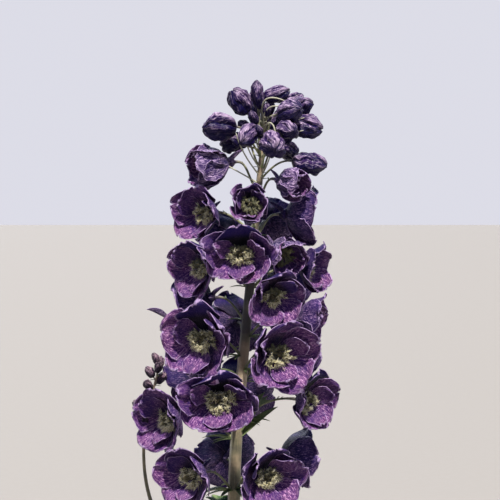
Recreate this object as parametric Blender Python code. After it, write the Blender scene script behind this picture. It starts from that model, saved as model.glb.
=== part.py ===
"""Delphinium plant in a pot: one spike of dark violet cups with cream centres, buds above them,
a young side spike, lobed leaves, soil and a plain clay pot.

Metres, +Z up. The origin is the centre of the pot's foot, and the spike's best side faces -Y.
Tables are in millimetres and degrees. An azimuth is 0 towards -Y and grows towards +X.
"""

import math
from collections import namedtuple

import bmesh
import bpy
from mathutils import Matrix, Vector

MM = 0.001
GAP = 0.3 * MM  # between pieces that touch

# Pot and soil
POT_HEIGHT = 205 * MM
POT_FOOT_RADIUS = 80 * MM
POT_TOP_RADIUS = 112 * MM
POT_RIM_RADIUS = 120 * MM
POT_RIM_HEIGHT = 34 * MM
POT_WALL = 7 * MM
POT_FLOOR = 9 * MM
POT_SIDES = 28
DRAIN_HOLES = 3
DRAIN_RADIUS = 6 * MM
DRAIN_CIRCLE = 46 * MM
SOIL_TOP = 183 * MM
SOIL_LUMP = 2.2 * MM

# Flowering stem
STEM_FOOT = 150 * MM
STEM_TOP = 768 * MM
LEAN_START = 480 * MM
LEAN_BEND = 100 * MM
LEAN = 0.091  # sideways run for each metre of rise above the bend
STEM_SIDES = 7
STEM_STEP = 52 * MM
PEDICEL_RADIUS = 1.0 * MM
PEDICEL_SIDES = 4
SPRAY_TIP = 826 * MM
BUD_STALK_DROP = 26 * MM  # how far below a bud its stalk leaves the axis

# Sepals, as shares of the sepal's length
SEPAL_PER_WIDTH = 0.69  # sepal length for each unit of the open cup's width
BLADE = 0.75 * MM
OUTER_HALF_WIDTH = 0.40
INNER_HALF_WIDTH = 0.31
INNER_LENGTH = 0.80
INNER_LIFT = 0.085
CUP_CURL = 0.85
PINWHEEL = 0.046
BASE_DEPTH = 0.15  # the solid base behind the sepals
BEE_CLEAR = 2.3 * MM  # from the hub of the inner sepals to the centre in front of them
BEE_RINGS = ((0.14, 0.0), (0.26, 0.17), (0.16, 0.235))  # radius and height, as shares of a sepal
BEE_HEART = 0.17  # the dip in the middle of the centre
WIDTH_PROFILE = ((0.0, 0.10), (0.14, 0.165), (0.45, 0.84), (0.82, 0.86), (1.0, 0.0))
SEPAL_FOOT, SEPAL_MIDDLE, SEPAL_SHOULDER = 0.14, 0.47, 0.82
OPEN_SLOPE = ((0.0, 85), (0.3, 62), (0.6, 38), (0.85, 28), (1.0, 42))
SHUT_SLOPE = ((0.0, 80), (0.3, 22), (0.6, -4), (0.85, -24), (1.0, -34))

# Basal leaves
CROWN_RADIUS = 15 * MM
CROWN_TOP = 202 * MM
LEAF_BLADE = 0.9 * MM

Floret = namedtuple("Floret", "name height azimuth reach yaw pitch width tall opening")
# height, azimuth and reach place the middle of the cup's mouth round the stem; yaw and pitch say where it faces.
FLORETS = [
    Floret(*row)
    for row in (
        ("bloom_01", 587, -16, 66, -5, -4, 68, 52, 1.00),
        ("bloom_02", 566, -75, 74, -46, -5, 57, 55, 1.00),
        ("bloom_03", 583, 74, 72, 48, -2, 53, 50, 1.00),
        ("bloom_04", 636, -41, 65, -24, -8, 62, 67, 1.00),
        ("bloom_05", 625, 34, 66, 30, -6, 64, 58, 1.00),
        ("bloom_06", 652, 77, 67, 80, -10, 50, 47, 0.90),
        ("bloom_07", 671, 25, 60, 25, -16, 52, 50, 1.00),
        ("bloom_08", 696, -70, 58, -46, -8, 52, 51, 1.00),
        ("bloom_09", 709, -12, 58, -6, -6, 58, 47, 1.00),
        ("bloom_10", 704, 42, 51, 38, -20, 50, 45, 0.50),
        ("bloom_11", 696, 83, 62, 66, -5, 47, 44, 0.90),
        ("bloom_12", 743, -76, 57, -42, -4, 53, 48, 0.95),
        ("bloom_13", 741, 97, 51, 92, -4, 55, 55, 0.85),
        ("bloom_14", 753, -8, 48, 0, 8, 39, 44, 0.62),
        ("bloom_15", 766, 52, 47, 56, -14, 44, 39, 0.35),
        ("bloom_16", 782, -84, 60, -70, -9, 61, 54, 0.38),
        ("bloom_17", 602, -129, 64, -124, -4, 62, 58, 1.00),
        ("bloom_18", 585, 178, 64, 178, -4, 60, 54, 1.00),
        ("bloom_19", 615, 130, 64, 130, -6, 58, 54, 1.00),
        ("bloom_20", 668, -115, 60, -112, -6, 54, 50, 1.00),
        ("bloom_21", 645, -168, 60, -168, -6, 56, 54, 1.00),
        ("bloom_22", 675, 146, 58, 146, -8, 54, 50, 1.00),
        ("bloom_23", 722, -145, 54, -145, -5, 50, 48, 0.95),
        ("bloom_24", 735, 165, 52, 168, -4, 48, 46, 0.90),
        ("bloom_25", 521, -45, 66, -42, -6, 60, 54, 1.00),
        ("bloom_26", 522, 32, 66, 30, -6, 60, 54, 1.00),
        ("bloom_27", 527, 108, 66, 108, -6, 58, 54, 1.00),
        ("bloom_28", 524, -172, 66, -172, -6, 58, 54, 1.00),
    )
]
NO_BEE_BELOW = 0.45  # a cup less open than this hides its centre
THREE_INNER_WITHIN = 80  # degrees of azimuth where a cup has three inner sepals, not two

Bud = namedtuple("Bud", "height azimuth reach yaw pitch length width")
TOP_BUDS = [
    Bud(*row)
    for row in (
        (817, -76, 39, -80, -4, 28, 23),
        (839, -74, 24, -50, 46, 25, 18),
        (845, -60, 9, -25, 74, 24, 13),
        (846, 70, 8, 74, 16, 23, 14),
        (841, 112, 24, 100, 26, 20, 14),
        (835, 88, 29, 84, 16, 22, 17),
        (818, 80, 36, 82, -8, 27, 21),
        (830, 42, 30, 52, 5, 23, 18),
        (810, -30, 26, -34, -34, 24, 16),
        (802, 15, 33, 12, -26, 25, 22),
        (815, 36, 33, 38, -12, 21, 16),
        (787, 84, 41, 88, -8, 29, 21),
        (799, 134, 29, 132, -20, 24, 18),
        (805, -122, 31, -124, -16, 23, 17),
        (826, 176, 27, 176, 4, 22, 17),
        (842, -150, 18, -150, 44, 19, 14),
    )
]

# Young side spike: its route, and its buds by share of the route
SIDE_ROUTE = ((-6.6, 2.2, 405), (-42, 34, 438), (-73, 37, 486), (-79, 20, 545), (-65, 2, 611))
SIDE_RADII = (2.4, 2.1, 1.7, 1.3, 0.8)
SIDE_BUDS = 11
SIDE_BUD_START = 0.80
SIDE_BUD_LENGTH = 13.5

# Stem leaves: height, azimuth, petiole length, leaf length, extra rise of the petiole in degrees
STEM_LEAVES = (
    (318, 40, 66, 58, 10),
    (352, 175, 58, 54, 8),
    (396, -62, 46, 46, 8),
    (434, 70, 36, 40, 8),
    (470, -160, 26, 34, 6),
)
# Basal leaves: azimuth, petiole run, blade height, leaf length
BASAL_LEAVES = (
    (10, 132, 246, 74),
    (70, 124, 282, 70),
    (130, 136, 250, 76),
    (190, 122, 286, 70),
    (250, 134, 244, 74),
    (310, 126, 280, 72),
)


# ---------------------------------------------------------------- shape tools


def between(table, t):
    """The value at t of a piecewise-linear table of (t, value)."""
    for (t0, v0), (t1, v1) in zip(table, table[1:]):
        if t <= t1:
            return v0 + (v1 - v0) * (t - t0) / (t1 - t0)
    return table[-1][1]


def vary(*keys):
    """A fixed number from -1 to 1 for these keys, so that repeats differ and each run is the same."""
    total = sum(key * step for key, step in zip(keys, (12.9898, 78.233, 37.719)))
    return 2 * (math.sin(total) * 43758.5453 % 1) - 1


def towards(yaw, pitch=0.0):
    """Unit vector that faces an azimuth and a pitch above the horizon, in degrees."""
    a, e = math.radians(yaw), math.radians(pitch)
    return Vector((math.sin(a) * math.cos(e), -math.cos(a) * math.cos(e), math.sin(e)))


def upright_frame(origin, facing):
    """Matrix with its Z along facing, its Y as near up as that allows, and the given origin."""
    side = Vector((0, 0, 1)).cross(facing)
    side = side.normalized() if side.length > 1e-6 else Vector((1, 0, 0))
    up = facing.cross(side)
    turn = Matrix((side, up, facing)).transposed().to_4x4()
    return Matrix.Translation(origin) @ turn


def bezier(points, count):
    """Points along the cubic curve with these four control points."""
    made = []
    for i in range(count + 1):
        t = i / count
        weights = ((1 - t) ** 3, 3 * t * (1 - t) ** 2, 3 * t * t * (1 - t), t**3)
        made.append(sum((p * w for p, w in zip(points, weights)), Vector()))
    return made


def skin(rings, closed=False):
    """The solid through rings of equal count, capped at both ends unless it closes on itself."""
    count, total = len(rings[0]), len(rings)
    verts = [point for ring in rings for point in ring]
    faces = []
    for i in range(total if closed else total - 1):
        for j in range(count):
            here, there = i * count, (i + 1) % total * count
            step = (j + 1) % count
            faces.append((here + j, here + step, there + step, there + j))
    if not closed:
        faces.append(tuple(reversed(range(count))))
        faces.append(tuple(range(len(verts) - count, len(verts))))
    return verts, faces


def tube(path, radii, sides):
    """A round rod along a path, with a radius for each point."""
    rings, across = [], Vector((0.3, 1, 0.2))
    for i, point in enumerate(path):
        along = (path[min(i + 1, len(path) - 1)] - path[max(i - 1, 0)]).normalized()
        across = (across - along * across.dot(along)).normalized()
        other = along.cross(across)
        turns = [2 * math.pi * k / sides for k in range(sides)]
        rings.append([point + radii[i] * (across * math.cos(a) + other * math.sin(a)) for a in turns])
    return skin(rings)


def pointed(shape, count, tip):
    """The same skin with its last flat cap replaced by a fan to a point."""
    verts, faces = shape
    last = len(verts) - count
    fan = [(last + j, last + (j + 1) % count, len(verts)) for j in range(count)]
    return verts + [tip], faces[:-1] + fan


def turned(profile, sides, ripple=None, closed=False):
    """A lathe shape from (radius, height) pairs; ripple(turn, radius, height) may shift a point."""
    rings = []
    for radius, height in profile:
        ring = []
        for k in range(sides):
            turn = 2 * math.pi * k / sides
            r, h = ripple(turn, radius, height) if ripple else (radius, height)
            ring.append(Vector((r * math.cos(turn), r * math.sin(turn), h)))
        rings.append(ring)
    return skin(rings, closed)


def thicken(points, triangles, thickness):
    """The closed blade with this middle surface, triangulated alike on both faces."""
    normals = [Vector() for _ in points]
    for a, b, c in triangles:
        normal = (points[b] - points[a]).cross(points[c] - points[a])
        for corner in (a, b, c):
            normals[corner] += normal
    half = [n.normalized() * thickness / 2 for n in normals]
    verts = [p + n for p, n in zip(points, half)] + [p - n for p, n in zip(points, half)]
    count = len(points)
    faces = [(a, b, c) for a, b, c in triangles]
    faces += [(a + count, c + count, b + count) for a, b, c in triangles]
    directed = {edge for a, b, c in triangles for edge in ((a, b), (b, c), (c, a))}
    for a, b in sorted(directed):
        if (b, a) not in directed:
            faces += [(b, a, a + count), (b, a + count, b + count)]
    return verts, faces


def moved(shape, matrix):
    verts, faces = shape
    return [matrix @ v for v in verts], faces


# ---------------------------------------------------------------- Blender objects


def clear_scene():
    for obj in list(bpy.data.objects):
        bpy.data.objects.remove(obj)


def make_material(name, colour, roughness):
    material = bpy.data.materials.new(name)
    material.use_nodes = True
    shader = material.node_tree.nodes["Principled BSDF"]
    shader.inputs["Base Color"].default_value = (*colour, 1)
    shader.inputs["Roughness"].default_value = roughness
    shader.inputs["Metallic"].default_value = 0.0
    material.diffuse_color = (*colour, 1)
    return material


def add_solid(name, shape, material):
    """A mesh object from vertices and faces, with its faces pointing out."""
    mesh = bpy.data.meshes.new(name)
    mesh.from_pydata([tuple(v) for v in shape[0]], [], shape[1])
    work = bmesh.new()
    work.from_mesh(mesh)
    bmesh.ops.recalc_face_normals(work, faces=work.faces)
    work.to_mesh(mesh)
    work.free()
    mesh.materials.append(material)
    obj = bpy.data.objects.new(name, mesh)
    bpy.context.scene.collection.objects.link(obj)
    return obj


def apply_modifiers(obj):
    """Keep the shape the modifiers make, with points closer than a micrometre merged."""
    graph = bpy.context.evaluated_depsgraph_get()
    shaped = bpy.data.meshes.new_from_object(obj.evaluated_get(graph))
    obj.modifiers.clear()
    work = bmesh.new()
    work.from_mesh(shaped)
    bmesh.ops.remove_doubles(work, verts=work.verts, dist=1e-6)
    work.to_mesh(shaped)
    work.free()
    obj.data = shaped


def cut(obj, shape):
    """Take a shape out of an object."""
    tool = add_solid("cut", shape, obj.data.materials[0])
    difference = obj.modifiers.new("cut", "BOOLEAN")
    difference.operation = "DIFFERENCE"
    difference.object = tool
    difference.solver = "EXACT"
    apply_modifiers(obj)
    bpy.data.objects.remove(tool)


def fuse(name, shapes, material, solver="MANIFOLD"):
    """One object from overlapping shapes, joined by a Boolean union that is applied here."""
    obj = add_solid(name, shapes[0], material)
    group = bpy.data.collections.new(name + "_pieces")
    bpy.context.scene.collection.children.link(group)
    for i, shape in enumerate(shapes[1:]):
        piece = add_solid(f"{name}_piece_{i}", shape, material)
        bpy.context.scene.collection.objects.unlink(piece)
        group.objects.link(piece)
    union = obj.modifiers.new("union", "BOOLEAN")
    union.operation = "UNION"
    union.operand_type = "COLLECTION"
    union.collection = group
    union.solver = solver
    apply_modifiers(obj)
    for piece in list(group.objects):
        bpy.data.objects.remove(piece)
    bpy.data.collections.remove(group)
    return obj


# ---------------------------------------------------------------- pot and soil


def pot_radius(height):
    """Radius of the pot's outer wall below the rim."""
    return POT_FOOT_RADIUS + (POT_TOP_RADIUS - POT_FOOT_RADIUS) * height / POT_HEIGHT


def add_pot(material):
    """A plain tapered pot with a thick rim and drain holes round the middle of its foot."""
    inner_floor = pot_radius(POT_FLOOR) - POT_WALL
    inner_top = pot_radius(POT_HEIGHT) - POT_WALL
    under_rim = POT_HEIGHT - POT_RIM_HEIGHT
    profile = [
        (POT_FOOT_RADIUS - 2 * MM, 0.0),
        (POT_FOOT_RADIUS, 2 * MM),
        (pot_radius(under_rim), under_rim),
        (POT_RIM_RADIUS - 2 * MM, under_rim + 1 * MM),
        (POT_RIM_RADIUS, POT_HEIGHT - 3 * MM),
        (POT_RIM_RADIUS - 3 * MM, POT_HEIGHT),
        (inner_top + 2 * MM, POT_HEIGHT),
        (inner_top, POT_HEIGHT - 3 * MM),
        (inner_floor, POT_FLOOR),
    ]
    pot = add_solid("pot", turned(profile, POT_SIDES), material)
    for i in range(DRAIN_HOLES):
        centre = towards(360 / DRAIN_HOLES * i) * DRAIN_CIRCLE
        drill = turned([(DRAIN_RADIUS, -5 * MM), (DRAIN_RADIUS, POT_FLOOR + 5 * MM)], 10)
        cut(pot, moved(drill, Matrix.Translation(centre)))
    return pot


def add_soil(material):
    """Soil with a lumpy top and one plain hole, where the crown of the plant stands."""
    hole = CROWN_RADIUS + GAP
    hole_floor = STEM_FOOT - GAP

    def inside(height):
        share = (height - POT_FLOOR) / (POT_HEIGHT - 3 * MM - POT_FLOOR)
        low = pot_radius(POT_FLOOR) - POT_WALL
        high = pot_radius(POT_HEIGHT) - POT_WALL
        return low + (high - low) * share - 2 * GAP

    def lumps(turn, radius, height):
        if height < SOIL_TOP - 5 * MM or radius < hole + MM:
            return radius, height
        key = round(math.degrees(turn))
        fade = 0.35 if radius > 0.9 * POT_TOP_RADIUS else 1.0
        return radius, height + SOIL_LUMP * fade * vary(key, radius * 1000)

    floor = POT_FLOOR + GAP
    profile = [
        (inside(floor), floor),
        (inside(SOIL_TOP - 2 * MM), SOIL_TOP - 2 * MM),
        (0.70 * POT_TOP_RADIUS, SOIL_TOP + 1 * MM),
        (0.38 * POT_TOP_RADIUS, SOIL_TOP + 2 * MM),
        (hole, SOIL_TOP + 1 * MM),
        (hole, hole_floor),
    ]
    return add_solid("soil", turned(profile, POT_SIDES, lumps), material)


# ---------------------------------------------------------------- stem


def stem_point(height):
    """The stem's middle: plumb to the bend, then leaning a little towards +X."""
    over = height - LEAN_START
    if over <= 0:
        side = 0.0
    elif over < LEAN_BEND:
        side = LEAN * over * over / (2 * LEAN_BEND)
    else:
        side = LEAN * (over - LEAN_BEND / 2)
    return Vector((side, 0, height))


def stem_radius(height):
    return between(((0.15, 6.4), (0.45, 5.7), (0.60, 4.8), (0.75, 3.2), (0.83, 1.7)), height) * MM


def mouth_centre(floret):
    return stem_point(floret.height * MM) + towards(floret.azimuth) * floret.reach * MM


def sepal_length(floret):
    return floret.width * MM * SEPAL_PER_WIDTH


def sepal_line(t, opening):
    """(radius, depth) of a sepal's middle line at t, for a sepal 1 long, with its slope from the axis."""
    steps = 24
    radius = depth = 0.0
    slope = 0.0
    for i in range(steps):
        at = t * (i + 0.5) / steps
        slope = math.radians((1 - opening) * between(SHUT_SLOPE, at) + opening * between(OPEN_SLOPE, at))
        radius += math.sin(slope) * t / steps
        depth += math.cos(slope) * t / steps
    return radius, depth, slope


def cup_depth(floret):
    return sepal_line(1.0, floret.opening)[1] * sepal_length(floret)


def base_centre(floret):
    """Where the cup's sepals meet, behind the middle of its mouth."""
    return mouth_centre(floret) - towards(floret.yaw, floret.pitch) * cup_depth(floret)


def pedicel(root_height, azimuth, end, facing, radius):
    """A flower stalk that leaves the stem slanting up and ends square behind its flower."""
    root = stem_point(root_height)
    reach = (end - root).length
    start = root + towards(azimuth) * stem_radius(root_height) * 0.4
    points = (
        start,
        start + towards(azimuth, 48) * reach * 0.45,
        end - facing * reach * 0.38,
        end,
    )
    path = bezier(points, 3)
    return tube(path, [radius * 1.35, radius, radius, radius * 1.25], PEDICEL_SIDES)


def azimuth_from_stem(point, height):
    away = point - stem_point(height)
    return math.degrees(math.atan2(away.x, -away.y))


def floret_pedicel(floret):
    facing = towards(floret.yaw, floret.pitch)
    end = base_centre(floret) - facing * (BASE_DEPTH * sepal_length(floret) + GAP)
    root_height = min(end.z - 16 * MM - 4 * MM * floret.opening, STEM_TOP - 4 * MM)
    return pedicel(root_height, azimuth_from_stem(end, end.z), end, facing, PEDICEL_RADIUS)


def add_stem(material):
    heights = []
    height = STEM_FOOT
    while height < STEM_TOP - STEM_STEP / 2:
        heights.append(height)
        height += STEM_STEP
    heights.append(STEM_TOP)
    path = [stem_point(h) for h in heights]
    shapes = [tube(path, [stem_radius(h) for h in heights], STEM_SIDES)]
    shapes += [floret_pedicel(floret) for floret in FLORETS]
    for row in STEM_LEAVES:
        shapes += stem_leaf(*row)
    return fuse("stem", shapes, material)


# ---------------------------------------------------------------- leaves

# One lobe of a leaf from its notch to its tip: share of the lobe's half angle, share of its length.
LOBE_HALF = ((1.0, 0.32), (0.80, 0.76), (0.40, 0.68), (0.0, 1.0))


def lobed_blade(length, lobes, spread, droop):
    """A palmate leaf in its own frame: its stalk joins at the origin and its middle lobe runs along +Y."""
    half = math.radians(spread) / lobes / 2
    points, triangles = [Vector((0, 0, 0))], []

    def place(angle, radius):
        fold = 0.10 * radius * abs(math.sin(math.pi / 2 * angle / half))
        height = fold - droop * (radius / length) ** 2 * length
        return Vector((radius * math.sin(angle), radius * math.cos(angle), height))

    first = len(points)
    for lobe in range(lobes):
        middle = half * 2 * (lobe - (lobes - 1) / 2)
        size = length * (1 - 0.10 * abs(lobe - (lobes - 1) / 2))
        rib = len(points)
        points.append(place(middle, 0.5 * size))
        points[rib].z -= 0.05 * size
        outline = [(-share, reach) for share, reach in LOBE_HALF]
        outline += [(share, reach) for share, reach in reversed(LOBE_HALF[:-1])]
        if lobe:
            outline = outline[1:]
        edge = [] if not lobe else [last]
        for share, reach in outline:
            edge.append(len(points))
            points.append(place(middle + share * half, reach * size))
        last = edge[-1]
        triangles += [(rib, b, a) for a, b in zip(edge, edge[1:])]
        triangles += [(0, rib, edge[0]), (0, edge[-1], rib)]
    assert first == 1
    return points, triangles


def leaf_on_stalk(stalk, stalk_radius, up, length, lobes, spread, droop):
    """A stalk with its lobed blade, which spreads outward from the stalk's end."""
    end = stalk[-1]
    out = (stalk[-1] - stalk[-2]).normalized()
    out = (out - up * out.dot(up)).normalized()
    side = out.cross(up)
    frame = Matrix.Translation(end) @ Matrix((side, out, up)).transposed().to_4x4()
    points, triangles = lobed_blade(length, lobes, spread, droop)
    blade = thicken([frame @ p for p in points], triangles, LEAF_BLADE)
    radii = [stalk_radius * (1.25 - 0.45 * i / (len(stalk) - 1)) for i in range(len(stalk))]
    stalk = stalk[:-1] + [end + out * stalk_radius - up * stalk_radius * 0.5]
    return [tube(stalk, radii, PEDICEL_SIDES), blade]


def stem_leaf(height, azimuth, petiole, length, rise):
    """A leaf on the flowering stem; small leaves high on it have fewer lobes."""
    height, petiole, length = height * MM, petiole * MM, length * MM
    start = stem_point(height) + towards(azimuth) * stem_radius(height) * 0.4
    lift = towards(azimuth, 50)
    end = start + towards(azimuth, 28 + rise) * petiole
    path = bezier((start, start + lift * petiole * 0.45, end - towards(azimuth, 6) * petiole * 0.4, end), 3)
    lobes = 5 if length > 50 * MM else 3
    spread = 260 if lobes == 5 else 190
    up = towards(azimuth + 180, 70 - rise)
    return leaf_on_stalk(path, 1.5 * MM, up, length, lobes, spread, 0.22)


def basal_leaf(azimuth, run, blade_height, length):
    """A long-stalked leaf that rises from the crown and arches outward."""
    run, blade_height, length = run * MM, blade_height * MM, length * MM
    start = Vector((0, 0, CROWN_TOP - 4 * MM)) + towards(azimuth) * 10.5 * MM
    end = towards(azimuth) * run + Vector((0, 0, blade_height))
    rise = (blade_height - CROWN_TOP) * 0.75
    path = bezier((start, start + towards(azimuth, 66) * rise, end - towards(azimuth, 12) * run * 0.4, end), 5)
    up = towards(azimuth + 180, 72)
    return leaf_on_stalk(path, 2.1 * MM, up, length, 5, 290, 0.26)


def add_basal_leaves(material):
    """The rosette: a crown that rings the stem's foot, with its leaves."""
    inner = stem_radius(STEM_FOOT) + GAP
    profile = [
        (inner, STEM_FOOT),
        (CROWN_RADIUS, STEM_FOOT),
        (CROWN_RADIUS, CROWN_TOP - 6 * MM),
        (CROWN_RADIUS - 4 * MM, CROWN_TOP),
        (inner, CROWN_TOP),
    ]
    shapes = [turned(profile, 12, closed=True)]
    for row in BASAL_LEAVES:
        shapes += basal_leaf(*row)
    return fuse("basal_leaves", shapes, material)


# ---------------------------------------------------------------- flowers


def whorl(length, sepals, half_width, opening, lift, back):
    """One closed body: sepals joined round a small hub. The cup opens along +Z and its top is +Y.

    sepals is a list of (turn, share of length, key), and back is how far the hub's back stands out.
    """
    points, triangles = [Vector((0, 0, lift * length))], []

    def place(turn, size, key, t, s):
        outward = Vector((math.sin(turn), math.cos(turn), 0))
        sideways = Vector((math.cos(turn), -math.sin(turn), 0))
        radius, depth, slope = sepal_line(t, opening)
        across = s * half_width * between(WIDTH_PROFILE, t)
        shift = s * PINWHEEL * min(1.0, 1.5 * t) - across * across / (2 * CUP_CURL)
        if t > SEPAL_FOOT:
            shift += 0.014 * vary(key, t * 10, s)
        radius += shift * math.cos(slope)
        depth -= shift * math.sin(slope)
        scale = 1 if t == SEPAL_FOOT else size
        return (outward * radius + sideways * across + Vector((0, 0, depth))) * scale * length

    feet = []
    for turn, size, key in sepals:
        turn = math.radians(turn)
        first = len(points)
        spots = [(SEPAL_FOOT, -1), (SEPAL_FOOT, 1)]
        spots += [(t, s) for t in (SEPAL_MIDDLE, SEPAL_SHOULDER) for s in (-1, 0, 1)]
        spots.append((1.0, 0))
        points += [place(turn, size, key, t, s) + Vector((0, 0, lift * length)) for t, s in spots]
        for a, b, c in (
            (0, 1, 3),
            (0, 3, 2),
            (1, 4, 3),
            (2, 3, 5),
            (3, 6, 5),
            (3, 4, 6),
            (4, 7, 6),
            (5, 6, 8),
            (6, 7, 8),
        ):
            triangles.append((first + a, first + b, first + c))
        feet += [first, first + 1]
    triangles += [(0, b, a) for a, b in zip(feet, feet[1:] + feet[:1])]
    verts, faces = thicken(points, triangles, BLADE)
    hub_back = max((0, len(points)), key=lambda i: -verts[i].z)
    verts[hub_back] = Vector((0, 0, (lift - back) * length))
    return verts, faces


def spur(length):
    """The slim tail behind the top sepal."""
    path = [Vector((0, y * length, z * length)) for y, z in ((0.05, -0.05), (0.19, -0.19), (0.25, -0.36))]
    return tube(path, [r * length for r in (0.05, 0.052, 0.022)], 5)


def bloom_shapes(index, floret):
    """Five outer sepals round their base, the inner sepals in front of them, and the spur."""
    length = sepal_length(floret)
    outer = [(72 * i + 4 * vary(index, i), 1 + 0.05 * vary(index, i, 3), index * 9 + i) for i in range(5)]
    count = 3 if abs(floret.azimuth) <= THREE_INNER_WITHIN and floret.opening > NO_BEE_BELOW else 2
    inner = []
    for i in range(count):
        turn = (60 if count == 3 else 0) + 360 / count * i + 10 * vary(index, i, 7)
        inner.append((turn, 1 + 0.05 * vary(index, i, 5), index * 9 + 5 + i))
    shapes = [
        whorl(length, outer, OUTER_HALF_WIDTH, floret.opening, 0, BASE_DEPTH),
        whorl(length * INNER_LENGTH, inner, INNER_HALF_WIDTH, floret.opening * 0.92, INNER_LIFT, INNER_LIFT + 0.04),
        spur(length),
    ]
    squash = Matrix.Diagonal((1, floret.tall / floret.width, 1, 1))
    return [moved(shape, squash) for shape in shapes]


def add_bloom(index, floret, material):
    obj = fuse(floret.name, bloom_shapes(index, floret), material)
    obj.matrix_world = upright_frame(base_centre(floret), towards(floret.yaw, floret.pitch))
    return obj


def bee(index, floret):
    """The cream centre: a frilled crown of small petals and stamens."""
    length = sepal_length(floret)
    room = 0.40 + 0.60 * floret.opening
    sides = 8

    def frill(turn, radius, height):
        tooth = 1 if round(turn / (2 * math.pi) * sides) % 2 else -1
        ripple = 0.15 * tooth + 0.05 * vary(index, turn)
        rise = 0.018 * length * tooth if radius > 0.1 * length else 0
        return radius * (1 + ripple), height + rise

    base = (INNER_LIFT * INNER_LENGTH + 0.02) * length + BLADE / 2 + BEE_CLEAR
    rings = [(r * length * room, h * length + base) for r, h in BEE_RINGS]
    return pointed(turned(rings, sides, frill), sides, Vector((0, 0, base + BEE_HEART * length)))


def add_bee(index, floret, material):
    obj = add_solid(floret.name.replace("bloom", "bee"), bee(index, floret), material)
    obj.matrix_world = upright_frame(base_centre(floret), towards(floret.yaw, floret.pitch))
    return obj


# ---------------------------------------------------------------- buds


def bud_shape(length, width, sides=10):
    """A plump bud with five soft folds, from its base at the origin along +Z."""

    def folds(turn, radius, height):
        return radius * (1 + 0.10 * math.cos(5 * turn)), height

    profile = ((0.17, 0.0), (0.48, 0.34), (0.40, 0.74))
    rings = turned([(r * width, h * length) for r, h in profile], sides, folds)
    return pointed(rings, sides, Vector((0, 0, length)))


def add_bud_spray(material):
    """The top of the spike: its slim axis, the stalks and the buds."""
    heights = [STEM_TOP + GAP, 0.790, 0.808, SPRAY_TIP]
    path = [stem_point(h) for h in heights]
    shapes = [tube(path, [stem_radius(h) for h in heights], 6)]
    for key, bud in enumerate(TOP_BUDS):
        facing = towards(bud.yaw, bud.pitch)
        middle = stem_point(bud.height * MM) + towards(bud.azimuth) * bud.reach * MM
        base = middle - facing * bud.length * MM / 2
        frame = upright_frame(base, facing) @ Matrix.Rotation(key, 4, "Z")
        shapes.append(moved(bud_shape(bud.length * MM, bud.width * MM), frame))
        root = min(max(base.z - BUD_STALK_DROP, STEM_TOP + 4 * MM), SPRAY_TIP - 3 * MM)
        inside = base + facing * 2 * MM
        shapes.append(pedicel(root, azimuth_from_stem(base, root), inside, facing, 0.85 * MM))
    return fuse("bud_spray", shapes, material)


def along(points, share):
    """A point on the smooth curve through points, at a share of its length."""
    spot = share * (len(points) - 1)
    i = min(int(spot), len(points) - 2)
    f = spot - i
    p = [points[max(i - 1, 0)], points[i], points[i + 1], points[min(i + 2, len(points) - 1)]]
    return 0.5 * (
        2 * p[1]
        + (p[2] - p[0]) * f
        + (2 * p[0] - 5 * p[1] + 4 * p[2] - p[3]) * f * f
        + (3 * p[1] - p[0] - 3 * p[2] + p[3]) * f**3
    )


def add_side_spike(material):
    """A young side spike of small closed buds."""
    route = [Vector(p) * MM for p in SIDE_ROUTE]
    steps = 8
    path = [along(route, i / steps) for i in range(steps + 1)]
    radii = [between([(i / 4, r) for i, r in enumerate(SIDE_RADII)], i / steps) * MM for i in range(steps + 1)]
    shapes = [tube(path, radii, 5)]
    for i in range(SIDE_BUDS):
        share = SIDE_BUD_START + (1 - SIDE_BUD_START) * i / (SIDE_BUDS - 1)
        size = SIDE_BUD_LENGTH * (1 - 0.25 * i / (SIDE_BUDS - 1)) * MM
        facing = towards(137.5 * i, 35 + 40 * (i / SIDE_BUDS) ** 2)
        base = along(route, share) + facing * 3.2 * MM
        frame = upright_frame(base, facing)
        shapes.append(moved(bud_shape(size, size * 0.72, 6), frame))
        shapes.append(tube([along(route, share) - facing * 0.2 * MM, base + facing * MM], [0.8 * MM] * 2, 4))
    return fuse("side_spike", shapes, material)


# ---------------------------------------------------------------- the plant


def main():
    clear_scene()
    clay = make_material("pot_clay", (0.55, 0.27, 0.15), 0.85)
    soil = make_material("soil", (0.07, 0.045, 0.03), 0.95)
    green = make_material("stem_green", (0.20, 0.30, 0.09), 0.6)
    leaf = make_material("leaf_green", (0.10, 0.22, 0.06), 0.55)
    violet = make_material("sepal_violet", (0.10, 0.03, 0.20), 0.5)
    cream = make_material("bee_cream", (0.62, 0.58, 0.36), 0.7)
    bud_violet = make_material("bud_violet", (0.13, 0.06, 0.20), 0.5)
    add_pot(clay)
    add_soil(soil)
    add_basal_leaves(leaf)
    add_stem(green)
    for index, floret in enumerate(FLORETS):
        add_bloom(index, floret, violet)
        if floret.opening > NO_BEE_BELOW:
            add_bee(index, floret, cream)
    add_bud_spray(bud_violet)
    add_side_spike(bud_violet)


main()
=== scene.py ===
"""Looks of the potted delphinium: fine petals, hairy cream centres, buds, leaves, soil and a clay pot.

Shapes are in millimetres and degrees, +Z up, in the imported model's frame; Build.piece turns them to metres.
Paints, lights, floor and camera are in metres. An azimuth is 0 towards the camera (-Y) and grows towards +X.
"""

from collections import namedtuple
from math import atan2, cos, degrees, pi, radians, sin, sqrt, tau

import bpy
import numpy as np
from mathutils import Matrix, Vector


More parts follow.
